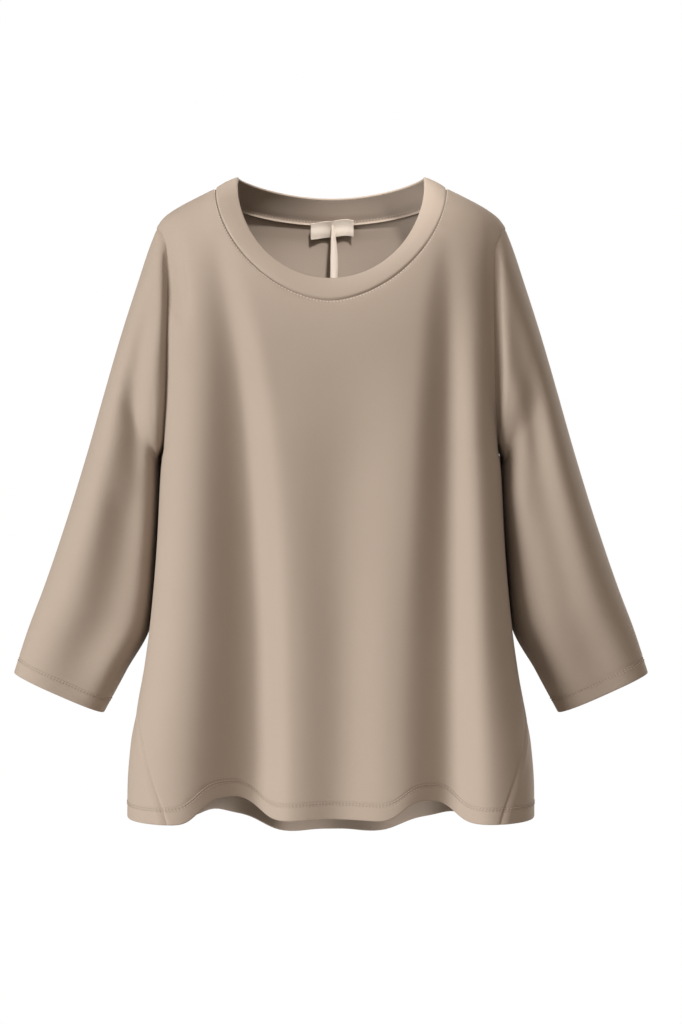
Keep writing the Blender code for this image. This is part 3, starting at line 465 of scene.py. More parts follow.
def body_section(angle, z):
    """x and y of the body form without its folds; angle in degrees round the garment."""
    s, c = np.sin(np.radians(angle)), np.cos(np.radians(angle))
    square, flat = BODY.at("square", z), BODY.at("front_flat", z)
    reach = (np.abs(s) ** square + np.abs(c) ** square) ** (-1 / square)
    front = BODY.at("front", z) * (1 - np.clip(np.abs(s) * reach, 0, 1) ** flat) ** (1 / flat)
    y = np.where(c > 0, -front, -BODY.at("back", z) * c * reach)
    return BODY.at("half_width", z) * s * reach, y


def body_point(angle, z):
    """Point of the cloth's outer face."""
    angle, z = np.broadcast_arrays(np.asarray(angle, dtype=float), np.asarray(z, dtype=float))
    x, y = body_section(angle, z)
    c = np.cos(np.radians(angle))
    fade = ease(*FOLD_SIDE_FADE, np.abs(c))
    to_front = -fold_profile(x, z, FRONT_FOLD_LINES)
    to_back = fold_profile(x, z, BACK_FOLD_LINES)
    return np.stack([x, y + fade * np.where(c > 0, to_front, to_back), z], axis=-1)


def body_normal(angle, z):
    """Outward unit normal of the body surface."""
    d_angle, d_z = 0.05, 0.0002
    round_it = body_point(angle + d_angle, z) - body_point(angle - d_angle, z)
    up_it = body_point(angle, z + d_z) - body_point(angle, z - d_z)
    return unit(np.cross(round_it, up_it))


def angle_at(x, z, over_back):
    """Angle at which the unfolded body surface has this x."""
    square = BODY.at("square", z)
    t = np.clip(np.abs(x) / BODY.at("half_width", z), 0, 1)
    rest = (1 - t**square) ** (1 / square)
    angle = np.degrees(np.arctan2(t, rest))
    angle = 180 - angle if over_back else angle
    return np.where(x < 0, -angle, angle)


def hem_height(angle, x):
    """Height of the lower edge, lifted by its waves."""
    around = np.abs((np.asarray(angle, dtype=float) + 180) % 360 - 180)
    height = HEM.at("height", around)
    for rows, here in ((FRONT_WAVES, around < 90), (BACK_WAVES, around >= 90)):
        for row in rows:
            wave = dict(zip(WAVE_COLUMNS, row))
            away = x - wave["x"]
            width = np.where(away < 0, wave["toward_right"], wave["toward_left"])
            height = height + np.where(here, wave["rise"] * np.exp(-np.abs(away / width) ** 3), 0)
    return height


class Girth:
    """Cloth lengths along the body's section, for turning angles into lengths and back."""

    def __init__(self, over_back):
        self.over_back = over_back
        self.turns = np.linspace(0, SECTION_REACH, SECTION_TURNS)
        self.heights = np.linspace(*SECTION_HEIGHTS)
        angle = 180 - self.turns if over_back else self.turns
        x, y = body_section(angle[None, :], self.heights[:, None])
        steps = np.hypot(np.diff(x, axis=1), np.diff(y, axis=1))
        start = np.zeros((len(self.heights), 1))
        self.lengths = np.concatenate([start, np.cumsum(steps, axis=1)], axis=1)

    def _row(self, z):
        place = (z - self.heights[0]) / (self.heights[1] - self.heights[0])
        place = np.clip(place, 0, len(self.heights) - 1.001)
        i = int(place)
        part = place - i
        return self.lengths[i] * (1 - part) + self.lengths[i + 1] * part

    def flat(self, angle, z):
        """Cloth length from the panel's middle line, + to the wearer's left."""
        turn = 180 - angle if self.over_back else angle
        found = [np.interp(abs(t), self.turns, self._row(h)) for t, h in zip(turn, z)]
        return np.copysign(found, turn)

    def angle(self, flat, z):
        """Angle at which the cloth length from the panel's middle line is flat."""
        turn = [np.interp(abs(f), self._row(h), self.turns) for f, h in zip(flat, z)]
        turn = np.copysign(turn, flat)
        return 180 - turn if self.over_back else turn


# ---- seam lines, as (angle, height) pairs ----
def neckline(over_back, parts):
    """Neck seam from the wearer's right shoulder to the left one."""
    turn = np.linspace(0, math.pi, DENSE)
    power = 2 / NECK_ROUNDNESS
    drop = BACK_NECK_DROP if over_back else FRONT_NECK_DROP
    x = -NECK_HALF_WIDTH * np.sign(np.cos(turn)) * np.abs(np.cos(turn)) ** power
    z = -drop * np.sin(turn) ** power
    angle = angle_at(x, z, over_back)
    angle[0], angle[-1] = -90, 90
    if over_back:
        angle = angle % 360
    return divide(body_point(angle, z), parts, angle, z)


def shoulder_seam(parts):
    """Heights along the shoulder seam from the tip to the neck."""
    z = np.linspace(SHOULDER_TIP_HEIGHT, 0, DENSE)
    return divide(body_point(90, z), parts, z)[0]


def armhole(over_back, parts):
    """Armhole seam on the wearer's left, from the shoulder tip to the armpit."""
    z = np.linspace(SHOULDER_TIP_HEIGHT, ARMPIT_HEIGHT, DENSE)
    angle = angle_at(ARMHOLE.at("back" if over_back else "front", z), z, over_back)
    angle[0] = angle[-1] = 90
    return divide(body_point(angle, z), parts, angle, z)


def hem_lift(rows):
    """Height above the lower edge at places 0 to 2 through the step and the double hem."""
    return np.interp(rows, (0, 1, 2), (HEM_DEPTH + HEM_STEP, HEM_DEPTH, 0.0))


def side_seam(side, rows):
    """Side seam at rows from the armpit (0) to the hem; side is -1 for the wearer's right."""
    column = "left" if side > 0 else "right"
    hem_angle = SIDE_SEAM.at(column, HEM_HEIGHT)
    hem_x = body_point(side * hem_angle, HEM_HEIGHT)[0]
    hem = float(hem_height(hem_angle, hem_x))
    z = np.linspace(ARMPIT_HEIGHT, hem + HEM_DEPTH + HEM_STEP, DENSE)
    angle = SIDE_SEAM.at(column, z)
    (z,) = divide(body_point(angle, z), np.clip(rows / SIDE_ROWS, 0, 1), z)
    below = np.clip(rows - SIDE_ROWS, 0, 2)
    z = np.where(below > 0, hem + hem_lift(below), z)
    return SIDE_SEAM.at(column, z), z


# ---- panels cut from the body surface ----
MAIN_ROWS = ARMHOLE_ROWS + SIDE_ROWS
ALL_COLUMNS = NECK_COLUMNS + 2 * SHOULDER_COLUMNS


def neck_part(columns):
    """Place along the neck seam, 0 to 1, at columns of the solids' grid."""
    return np.clip((columns - SHOULDER_COLUMNS) / NECK_COLUMNS, 0, 1)


def top_edge(over_back, columns):
    """Angle and height along a panel's shoulders and neck, at columns of the solids' grid."""
    start = 270.0 if over_back else -90.0
    right = columns < SHOULDER_COLUMNS
    left = columns > SHOULDER_COLUMNS + NECK_COLUMNS
    angle, z = neckline(over_back, neck_part(columns))
    from_tip = np.where(right, columns, ALL_COLUMNS - columns) / SHOULDER_COLUMNS
    shoulder = shoulder_seam(np.clip(from_tip, 0, 1))
    angle = np.where(right, start, np.where(left, 90.0, angle))
    return angle, np.where(right | left, shoulder, z)


def side_edge(over_back, side, rows):
    """Angle and height down a panel's armhole and side seam, at rows of the solids' grid."""
    arm_angle, arm_z = armhole(over_back, np.clip(rows / ARMHOLE_ROWS, 0, 1))
    seam_angle, seam_z = side_seam(side, np.maximum(rows - ARMHOLE_ROWS, 0))
    below = rows > ARMHOLE_ROWS
    angle = np.where(below, seam_angle, arm_angle)
    z = np.where(below, seam_z, arm_z)
    if side < 0:
        angle = 360 - angle if over_back else -angle
    return angle, z


def hem_line(start, end, lift, parts):
    """Points along the lower edge from one side seam to the other, lift above it."""
    angle = np.linspace(start, end, DENSE)
    z = hem_height(angle, body_point(angle, HEM_HEIGHT)[:, 0]) + lift
    return divide(body_point(angle, z), parts, angle, z)


def panel_grid(over_back, columns, rows):
    """Angle and height of a panel at columns and rows of the solids' grid.

    The panel is blended between its four edges as a flat pattern, in cloth lengths from
    its middle line, so that its columns spread as the cloth does.
    """
    share, hold = BACK_SPREAD if over_back else FRONT_SPREAD
    girth = Girth(over_back)
    top_angle, top_z = top_edge(over_back, columns)
    right_angle, right_z = side_edge(over_back, -1, rows)
    left_angle, left_z = side_edge(over_back, 1, rows)
    u = columns / ALL_COLUMNS
    ends = [side_edge(over_back, side, np.array([float(MAIN_ROWS)]))[0][0] for side in (-1, 1)]
    bottom_angle, bottom_z = hem_line(ends[0], ends[1], HEM_DEPTH + HEM_STEP, u)
    flat_top, flat_bottom = girth.flat(top_angle, top_z), girth.flat(bottom_angle, bottom_z)
    flat_right, flat_left = girth.flat(right_angle, right_z), girth.flat(left_angle, left_z)
    to_right, to_left = (1 - u) ** hold, u**hold
    angle = np.zeros((len(rows), len(columns)))
    z = np.zeros_like(angle)
    for i, row in enumerate(rows):
        if row > MAIN_ROWS:
            lift = hem_lift(row - MAIN_ROWS)
            angle[i], z[i] = hem_line(right_angle[i], left_angle[i], lift, u)
        else:
            v = np.interp(row, (0, ARMHOLE_ROWS, MAIN_ROWS), (0, share, 1))
            flat = (1 - v) * flat_top + v * flat_bottom
            flat = flat + (flat_right[i] - flat[0]) * to_right + (flat_left[i] - flat[-1]) * to_left
            high = (1 - v) * top_z + v * bottom_z
            z[i] = high + (right_z[i] - high[0]) * to_right + (left_z[i] - high[-1]) * to_left
            angle[i] = top_angle if row == 0 else girth.angle(flat, z[i])
        angle[i, 0], z[i, 0] = right_angle[i], right_z[i]
        angle[i, -1], z[i, -1] = left_angle[i], left_z[i]
    return angle, z


# ---- the sleeve surface ----
def even_ring(half_long, half_wide, parts):
    """Superellipse read at even distances, as fractions along its two half axes."""
    turn = np.linspace(0, math.pi, DENSE)
    c, s = np.cos(turn), np.sin(turn)
    reach = (np.abs(c) ** SLEEVE_SQUARE + np.abs(s) ** SLEEVE_SQUARE) ** (-1 / SLEEVE_SQUARE)
    points = np.stack([half_long * c * reach, half_wide * s * reach], axis=-1)
    return divide(points, parts, c * reach, s * reach, np.degrees(turn))


def sleeve_ring(along, name):
    """Points of one ring of the wearer's left sleeve: down its front, then up its back."""
    row = {key: float(SLEEVE.at(key, along)) for key in SLEEVE.values}
    outer = np.array([row["outer_x"], 0, row["outer_z"]])
    inner = np.array([row["inner_x"], 0, row["inner_z"]])
    middle, half = (outer + inner) / 2, (outer - inner) / 2
    size = float(np.linalg.norm(half))
    depth = row["depth"]
    long_part, wide_part, turn = even_ring(size, depth, ARM_PARTS)
    long_part = both_halves(long_part, long_part)
    wide_part = both_halves(wide_part, -wide_part)
    turn = both_halves(turn, 360 - turn)
    ring = middle + long_part[:, None] * half
    inward = (1 - long_part) / 2
    ring[:, 1] -= wide_part * depth + row["forward"] * np.sin(np.radians(turn)) ** 2
    ring[:, 1] += row["inner_back"] * inward + sleeve_folds(turn, along, name)
    return ring


def sleeve_folds(turn, along, name):
    """How far a sleeve's folds move its cloth to the back at places round a ring."""
    shift = np.zeros(len(turn))
    for rows in SLEEVE_FOLDS[name].values():
        fold = Table(SLEEVE_FOLD_COLUMNS, rows)
        place = fold.at("angle", along)
        out = fold.at("out", along) if along > fold.keys[0] else 0.0
        away = (turn - place) / fold.at("half_width", along)
        shift += (-out if place < 180 else out) * np.exp(-(away**2))
    return shift


def seam_loop(seam, parts):
    """Angles and heights of a closed seam: its front half, then its back half in return."""
    return [both_halves(*halves) for halves in zip(seam(False, parts), seam(True, parts))]


def sleeve_grid(name, stops):
    """Outer face of the wearer's left sleeve, ring by ring from the armhole to the cuff."""
    loop = body_point(*seam_loop(armhole, ARM_PARTS))
    first = sleeve_ring(0.0, name)
    rings = []
    for along in stops:
        keep = 1 - ease(0, SLEEVE_SEAM_REACH, along)
        rings.append(sleeve_ring(along, name) + keep * (loop - first))
    return np.array(rings)


def ring_normals(rings):
    """Unit normals of rows of closed rings, from their own points."""
    return unit(np.cross(run_round(rings, 1), np.gradient(rings, axis=0)))


def band_top(loop):
    """Top edge of the neckband above each point of the neck seam."""
    across = np.clip(loop[:, 0] / NECK_HALF_WIDTH, -1, 1)
    front = loop[:, 1] < 0
    full, round_by = BAND_FRONT_FULLNESS, BAND_FRONT_ROUNDNESS
    y_front = BAND_TOP_FRONT[0] * (1 - np.abs(across) ** full) ** (1 / full)
    y_back = BAND_TOP_BACK[0] * np.sqrt(1 - across**2)
    drop_front = (1 - np.abs(across) ** round_by) ** (1 / round_by)
    drop = np.where(front, drop_front, 1 - np.abs(across) ** BAND_BACK_DIP)
    z_reach = np.where(front, BAND_TOP_FRONT[1], BAND_TOP_BACK[1])
    z = BAND_TOP_SIDE_HEIGHT + (z_reach - BAND_TOP_SIDE_HEIGHT) * drop
    return np.stack([across * BAND_TOP_HALF_WIDTH, np.where(front, y_front, y_back), z], axis=-1)


# ---- relief of the cloth: seams, hems and small creases ----
SEAM_DIP = 0.0009         # how far the cloth turns in at a side or shoulder seam
NECK_DIP = 0.0021         # the same at the neck seam
NECK_DIP_WIDTH = 0.0012
ARMHOLE_DIP = 0.0005      # and at the armhole seams
SEAM_DIP_WIDTH = 0.0016
SEAM_BEND = 0.0030        # reach beside a seam in which both pieces' walls turn to meet
STITCH_DIP = 0.00060      # how far a stitched line pulls the cloth in
STITCH_DIP_WIDTH = 0.0008
NECK_STITCH_DIP = 0.0007
ARMHOLE_STITCH = 0.0018              # from the armhole seam to the line stitched beside it
SEAM_EDGE = (0.0075, 0.0028, 0.0007)   # ridge of the turned seam edge: distance, half width, height
OVERLOCK_MIDDLE = 0.0026             # from the neck seam to the middle of the overlocked edge
OVERLOCK_LENGTH = 0.0036
CREASE_TURN = (0.0, 0.015)           # depths to the front between which sleeve creases begin
HEM_STITCHES = (0.0152, 0.0176)      # heights of the two stitched lines above an edge
NECK_STITCH = 0.0024                 # from the neck seam to the line stitched beside it
NECK_STITCH_REACH = 0.001            # how far that line runs past the neck's sides
STITCH_LIFT = 0.6         # how far a stitch's middle lies above the cloth, in thread radii
EDGE_ROUND = 0.0014       # radius of a folded edge
EDGE_DRAW = 0.96          # part of it that each face draws in at the very edge
INNER_RELIEF = 0.5        # part of the outer face's relief that the inner face follows
SMOOTH_LIMIT = math.radians(60)   # angle between faces above which an edge is sharp
CREASE_START = (-0.2, 0.25)   # parts of a crease's length over which it comes in and fades
CREASE_END = (0.7, 1.2)
CREASE_COLUMNS = ("x_top", "z_top", "x_low", "z_low", "bend", "half_width", "out")
CREASES = {
    "body_front": (
        (-0.1640, -0.055, -0.1530, -0.140, 0.000, 0.0095, -0.0070),
        (0.1660, -0.052, 0.1675, -0.240, 0.000, 0.0080, -0.0055),
    ),
    "body_back": (
        (-0.080, -0.120, -0.120, -0.330, 0.010, 0.016, -0.0030),
        (0.075, -0.110, 0.120, -0.300, -0.012, 0.018, -0.0034),
        (-0.010, -0.330, 0.020, -0.560, 0.006, 0.022, -0.0030),
    ),
    "sleeve_right": (
        (-0.1640, -0.055, -0.1530, -0.140, 0.000, 0.0095, -0.0070),
        (-0.1845, -0.285, -0.1900, -0.470, 0.000, 0.0105, 0.0030),
        (-0.2080, -0.240, -0.2100, -0.330, 0.000, 0.0140, 0.0030),
    ),
    "sleeve_left": (
        (0.1660, -0.052, 0.1675, -0.240, 0.000, 0.0080, -0.0055),
        (0.1860, -0.285, 0.1990, -0.470, 0.000, 0.0110, 0.0050),
        (0.1900, -0.200, 0.1980, -0.290, 0.000, 0.0110, 0.0030),
    ),
}


def dip(distance, width):
    """1 at distance 0, fading to nothing over a few widths."""
    return np.exp(-((distance / width) ** 2))


def crease_relief(points, name):
    """How far small creases move the cloth outwards, each along its own bent line."""
    place = points[..., (0, 2)]
    total = np.zeros(points.shape[:-1])
    for values in CREASES[name]:
        crease = dict(zip(CREASE_COLUMNS, values))
        top = np.array([crease["x_top"], crease["z_top"]])
        run = np.array([crease["x_low"], crease["z_low"]]) - top
        length = float(np.linalg.norm(run))
        away = place - top
        along = away @ run / length**2
        aside = (away[..., 0] * run[1] - away[..., 1] * run[0]) / length
        aside = aside - crease["bend"] * 4 * along * (1 - along)
        fade = ease(*CREASE_START, along) * (1 - ease(*CREASE_END, along))
        total += crease["out"] * fade * dip(aside, crease["half_width"])
    return total


def rounded(distance, thickness):
    """How far each face of a folded edge draws in at a distance from the edge."""
    radius = np.minimum(EDGE_ROUND, thickness / 2)
    inside = np.clip(1 - distance / radius, 0, 1)
    return radius * (1 - np.sqrt(1 - inside**2)) * EDGE_DRAW


# ---- closed walls ----
def add_object(name, data):
    """Put an object with this data into the scene."""
    item = bpy.data.objects.new(name, data)
    bpy.context.scene.collection.objects.link(item)
    return item


def wall_object(name, outer, inner, across, along, closed_round, flip):
    """Closed wall between two equal grids, with its place on the cloth as a UV map in metres."""
    rows, columns = outer.shape[:2]
    count = rows * columns
    spans = columns if closed_round else columns - 1
    r, c = np.meshgrid(np.arange(rows - 1), np.arange(spans), indexing="ij")
    a = (r * columns + c).ravel()
    b = (r * columns + (c + 1) % columns).ravel()
    flat = np.arange(count).reshape(rows, columns)
    faces = [
        np.stack([a, a + columns, b + columns, b], axis=1),
        np.stack([count + a, count + b, count + b + columns, count + a + columns], axis=1),
    ]
    rims = [(flat[0], False), (flat[-1], True)]
    if not closed_round:
        rims += [(flat[:, 0], True), (flat[:, -1], False)]
    for line, reverse in rims:
        start, end = line, np.roll(line, -1)
        if len(line) == rows or not closed_round:
            start, end = line[:-1], line[1:]
        if reverse:
            start, end = end, start
        faces.append(np.stack([start, end, count + end, count + start], axis=1))
    faces = np.concatenate(faces)
    if flip:
        faces = faces[:, ::-1]
    points = np.concatenate([outer.reshape(-1, 3), inner.reshape(-1, 3)])
    mesh = bpy.data.meshes.new(name)
    mesh.from_pydata(points.tolist(), [], faces.tolist())
    place = np.stack([across, along], axis=-1).reshape(-1, 2)
    layer = mesh.uv_layers.new(name="cloth")
    corner = np.zeros(len(mesh.loops), dtype=np.int32)
    mesh.loops.foreach_get("vertex_index", corner)
    uv = place[corner % count]
    if closed_round:
        uv = uv.reshape(-1, 4, 2)
        girth = float(across.max() - across.min()) * columns / (columns - 1)
        wraps = (uv[:, :, 0].max(axis=1) - uv[:, :, 0].min(axis=1)) > girth / 2
        low = uv[:, :, 0] < across.min() + girth / 2
        uv[:, :, 0] += np.where(wraps[:, None] & low, girth, 0)
        uv = uv.reshape(-1, 2)
    layer.data.foreach_set("uv", uv.astype(np.float32).ravel())
    mesh.shade_smooth()
    mesh.set_sharp_from_angle(angle=SMOOTH_LIMIT)
    return add_object(name, mesh)


def seam_outside(points, normal_a, normal_b):
    """Direction in which the edges of pieces a and b stand out together along a closed seam.

    Seen from outside, piece a lies on the right of the seam's run.
    """
    run = unit(run_round(points))
    cloth_a = unit(np.cross(run, normal_a))
    cloth_b = -unit(np.cross(run, normal_b))
    return unit(normal_a + normal_b + cloth_a + cloth_b)


def armhole_outside(name):
    """Shared outward direction along the left armhole seam, as its loop runs."""
    angle, z = seam_loop(armhole, ARM_PARTS)
    head = sleeve_grid(name, SLEEVE_HEAD)
    return seam_outside(body_point(angle, z), body_normal(angle, z), ring_normals(head)[0])


def cloth_piece(name, shell, closed_round, flip, node, material):
    """The closed wall of a shell, with its material, declared in place of its solid."""
    item = wall_object(name, *shell, closed_round, flip)
    item.data.materials.append(material)
    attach(item, "root")
    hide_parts(node)


def grid_places(count, fine, near_start, near_end):
    """Places in a row of count cells, each divided by fine, with extra places at the ends."""
    places = np.linspace(0, count, count * fine + 1)
    extra = np.concatenate([near_start, count - near_end])
    keep = np.ones(len(places), dtype=bool)
    for i, place in enumerate(places):
        if 0 < i < len(places) - 1 and np.any(np.abs(extra - place) < TOO_NEAR / fine):
            keep[i] = False
    return np.unique(np.round(np.concatenate([places[keep], extra]), 6))


def doubled_wall(base, normals, relief, to_hem, cloth):
    """Outer and inner grids of a wall whose lower edge is folded up and stitched twice."""
    for line in HEM_STITCHES:
        relief = relief - STITCH_DIP * dip(to_hem - line, STITCH_DIP_WIDTH)
    double = ease(HEM_DEPTH + HEM_STEP, HEM_DEPTH, to_hem)
    thickness = cloth.layer + (cloth.double_layer - cloth.layer) * double
    draw_in = rounded(to_hem, thickness)
    outer = base + (relief - draw_in)[..., None] * normals
    inner = base + (relief * INNER_RELIEF - thickness + draw_in)[..., None] * normals
    return outer, inner


# ---- the pieces ----
def body_panel(name, over_back, cloth):
    """Outer and inner grids of the front or back panel, with places on the cloth."""
    seam = np.array(SEAM_STEPS)
    beside = seam / PANEL_GIRTH * ALL_COLUMNS
    columns = grid_places(ALL_COLUMNS, FINE_COLUMNS, beside, beside)
    step_rows = MAIN_ROWS + np.array(HEM_STEP_ROWS)
    hem_rows = np.concatenate([step_rows, MAIN_ROWS + 2 - np.array(HEM_LINES) / HEM_DEPTH])
    rows = grid_places(MAIN_ROWS, FINE_ROWS, seam / PANEL_ROW, np.array([0.0]))
    rows = np.unique(np.round(np.concatenate([rows, hem_rows]), 6))
    angle, z = panel_grid(over_back, columns, rows)
    base = body_point(angle, z)
    normals = body_normal(angle, z)
    to_top = lengths_along(base)
    to_hem = to_top[-1:] - to_top
    side = lengths_along(base, 1)
    to_side = np.minimum(side, side[:, -1:] - side)
    normals = bend_to_armholes(normals, rows, side, over_back)
    normals = bend_to_neck(normals, columns, to_top, over_back)
    neck = (columns > SHOULDER_COLUMNS) & (columns < SHOULDER_COLUMNS + NECK_COLUMNS)
    beside_arm = (rows <= ARMHOLE_ROWS)[:, None]
    relief = crease_relief(base, name)
    relief = relief - SEAM_DIP * dip(to_top, SEAM_DIP_WIDTH) * ~neck
    relief = relief - NECK_DIP * dip(to_top, NECK_DIP_WIDTH) * neck
    relief = relief - np.where(beside_arm, ARMHOLE_DIP, SEAM_DIP) * dip(to_side, SEAM_DIP_WIDTH)
    if over_back:
        distance, half_width, height = SEAM_EDGE
        relief = relief + height * dip(to_side - distance, half_width) * ~beside_arm
    relief = relief - NECK_STITCH_DIP * dip(to_top - NECK_STITCH, STITCH_DIP_WIDTH) * neck
    outer, inner = doubled_wall(base, normals, relief, to_hem, cloth)
    return outer, inner, side - side.mean(axis=1, keepdims=True), z


def loop_direction(direction, parts, wanted, over_back):
    """Read a seam loop's directions at parts of its front or back half."""
    half = len(parts)
    found = direction[:half]
    if over_back:
        found = np.concatenate([direction[:1], direction[half - 1:][::-1]])
    return unit(np.stack([np.interp(wanted, parts, found[:, i]) for i in range(3)], axis=-1))


def bend_to_armholes(normals, rows, side, over_back):
    """Turn a panel's normals beside its armholes to the direction shared with the sleeves."""
    wanted = np.clip(rows / ARMHOLE_ROWS, 0, 1)
    reach = (rows <= ARMHOLE_ROWS)[:, None]
    for name, sign, distance in (
        ("sleeve_right", -1, side), ("sleeve_left", 1, side[:, -1:] - side),
    ):
        shared = loop_direction(armhole_outside(name), ARM_PARTS, wanted, over_back)
        shared = shared * (sign, 1, 1)
        near = (dip(distance, SEAM_BEND) * reach)[..., None]
        normals = turned(normals, shared[:, None, :], near)
    return normals


def bend_to_neck(normals, columns, down, over_back):
    """Turn a panel's normals beside the neck seam to the direction shared with the neckband."""
    reach = (columns >= SHOULDER_COLUMNS) & (columns <= SHOULDER_COLUMNS + NECK_COLUMNS)
    shared = loop_direction(neck_outside(), NECK_PARTS, neck_part(columns), over_back)
    near = (dip(down, SEAM_BEND) * reach[None, :])[..., None]
    return turned(normals, shared[None, :, :], near)


def neck_outside():
    """Shared outward direction along the neck seam, as its loop runs."""
    angle, z = seam_loop(neckline, NECK_PARTS)
    loop = body_point(angle, z)
    facing = unit(np.cross(run_round(loop), band_top(loop) - loop))
    return seam_outside(loop, body_normal(angle, z), facing)


def sleeve_shell(name, side, cloth):
    """Outer and inner grids of one sleeve, with places on the cloth."""
    seam = np.array(SEAM_STEPS) / SLEEVE_LENGTH
    stops = np.linspace(0, 1, FINE_RINGS + 1) ** SLEEVE_RING_GROWTH
    from_edge = np.array((*HEM_LINES, HEM_DEPTH, HEM_DEPTH + HEM_STEP)) / SLEEVE_LENGTH
    free = (stops > seam[-1] + RING_CLEAR[0]) & (stops < 1 - from_edge[-1] - RING_CLEAR[1])
    stops = np.concatenate([seam, stops[free], 1 - from_edge[::-1]])
    base = sleeve_grid(name, stops)
    normals = ring_normals(base)
    down = lengths_along(base)
    near = dip(down, SEAM_BEND)[..., None]
    normals = turned(normals, armhole_outside(name)[None], near)
    relief = crease_relief(base * (side, 1, 1), name) * ease(*CREASE_TURN, -base[..., 1])
    relief = relief - ARMHOLE_DIP * dip(down, SEAM_DIP_WIDTH)
    outer, inner = doubled_wall(base, normals, relief, down[-1:] - down, cloth)
    if side < 0:
        outer, inner = outer * (-1, 1, 1), inner * (-1, 1, 1)
    round_it = np.linspace(0, 1, base.shape[1], endpoint=False)[None, :] * SLEEVE_GIRTH
    return outer, inner, np.repeat(round_it, len(stops), axis=0), -down


def neckband_shell(cloth):
    """Outer and inner grids of the neckband from its folded top edge to the neck seam."""
    loop = body_point(*seam_loop(neckline, NECK_PARTS))
    top = band_top(loop)
    normals = unit(np.cross(run_round(loop), top - loop))
    shared = neck_outside()
    height = np.linalg.norm(top - loop, axis=-1)
    outer, inner, along = [], [], []
    rows = [(distance, False) for distance in BAND_FROM_SEAM]
    rows += [(distance, True) for distance in BAND_FROM_TOP]
    for distance, at_top in rows:
        v = (1 - distance / height if at_top else distance / height)[:, None]
        up = v[:, 0] * height
        bulge = BAND_CROWN * np.sin(math.pi * v)
        bulge = bulge - NECK_DIP * dip(up, NECK_DIP_WIDTH)[:, None]
        near = dip(up, SEAM_BEND)[:, None]
        facing = turned(normals, shared, near)
        full = cloth.layer + (cloth.double_layer - cloth.layer) * ease(0.0, BAND_DOUBLING, v)
        draw_in = rounded((1 - v) * height[:, None], full)
        base = loop + (top - loop) * v
        outer.append(base + facing * (bulge - draw_in))
        inner.append(base + facing * (bulge - full + draw_in))
        along.append(up)
    girth = np.linspace(0, BAND_GIRTH, len(loop), endpoint=False)[None, :]
    return (np.array(outer[::-1]), np.array(inner[::-1]),
            np.repeat(girth, len(outer), axis=0), np.array(along[::-1]))


def label_shell():
    """Face and back of the bare neck label, which lies over the neck seam inside the back."""
    rows, columns = LABEL_GRID
    x_grid, z_grid = np.meshgrid(np.linspace(-LABEL_WIDTH / 2, LABEL_WIDTH / 2, columns),
                                 np.linspace(LABEL_TOP, LABEL_BOTTOM, rows))
    from_middle = x_grid / LABEL_WIDTH * 2
    z = z_grid + wave(x_grid, *LABEL_WAVE) + LABEL_TILT * from_middle
    angle = angle_at(x_grid + LABEL_MIDDLE_X, z, True) % 360
    under, normals = body_point(angle, z), body_normal(angle, z)
    curl = LABEL_CURL * np.abs(from_middle) ** LABEL_CURL_POWER + wave(x_grid, *LABEL_RIPPLE)
    pucker = LABEL_PUCKER * dip(x_grid, LABEL_PUCKER_WIDTH) * ease(LABEL_BOTTOM, LABEL_TOP, z_grid)
    seat = LABEL_SEAT + curl + pucker
    face = under - (seat + LABEL_THICKNESS)[..., None] * normals
    back = under - seat[..., None] * normals
    return face, back, x_grid, z_grid


def ribbon_path():
    """Middle line of the ribbon loop: down its front leg, round the turn and up behind."""
    hang = body_point(angle_at(LABEL_MIDDLE_X, RIBBON_TOP, True), RIBBON_TOP)
    y = float(hang[1]) - RIBBON_SEAT
    down = np.linspace(RIBBON_TOP, RIBBON_BOTTOM, RIBBON_LEG_POINTS)
    t = np.linspace(0, 1, RIBBON_LEG_POINTS)
    front_x = LABEL_MIDDLE_X + wave(t, *RIBBON_FRONT_WAVE)
    behind_x = LABEL_MIDDLE_X + wave(t, *RIBBON_BACK_WAVE) + RIBBON_BACK_SHIFT
    front = np.column_stack([front_x, y - RIBBON_GAP + 0 * t, down])
    behind = np.column_stack([behind_x, y + 0 * t, down])
    turn = np.linspace(0, math.pi, RIBBON_TURN_POINTS)[1:-1]
    low = np.column_stack([
        np.linspace(front_x[-1], behind_x[-1], RIBBON_TURN_POINTS)[1:-1],
        y - RIBBON_TURN - RIBBON_TURN * np.cos(turn),
        RIBBON_BOTTOM - RIBBON_TURN * np.sin(turn),
    ])
    return np.concatenate([front, low, behind[::-1]])


def ribbon_shell():
    """Face and back of the ribbon loop, with places on the ribbon."""
    path = ribbon_path()
    along = np.linspace(0, 2, len(path))
    widths, turns = np.interp(along, *RIBBON_WIDTHS), np.interp(along, *RIBBON_TURNS)
    across = np.linspace(-0.5, 0.5, RIBBON_COLUMNS)
    flat = np.zeros(len(path))
    side = np.stack([np.cos(turns), np.sin(turns), flat], axis=-1)
    face_out = np.stack([np.sin(turns), -np.cos(turns), flat], axis=-1)[:, None, :]
    cup = RIBBON_CUP * (1 - (2 * across) ** 2)
    middle = path[:, None, :] + side[:, None, :] * (across[None, :, None] * widths[:, None, None])
    middle = middle + face_out * cup[None, :, None]
    half = face_out * RIBBON_THICKNESS / 2
    u = np.repeat(across[None, :] * RIBBON_WIDTH, len(path), axis=0)
    v = np.repeat(lengths_along(path)[:, None], RIBBON_COLUMNS, axis=1)
    return middle + half, middle - half, u, v


# ---- sewing ----
def line_at(points, distances, value):
    """The points of a grid's columns at a distance, read between its rows."""
    line = []
    for k in range(points.shape[1]):
        line.append([np.interp(value, distances[:, k], points[:, k, i]) for i in range(3)])
    return np.array(line)


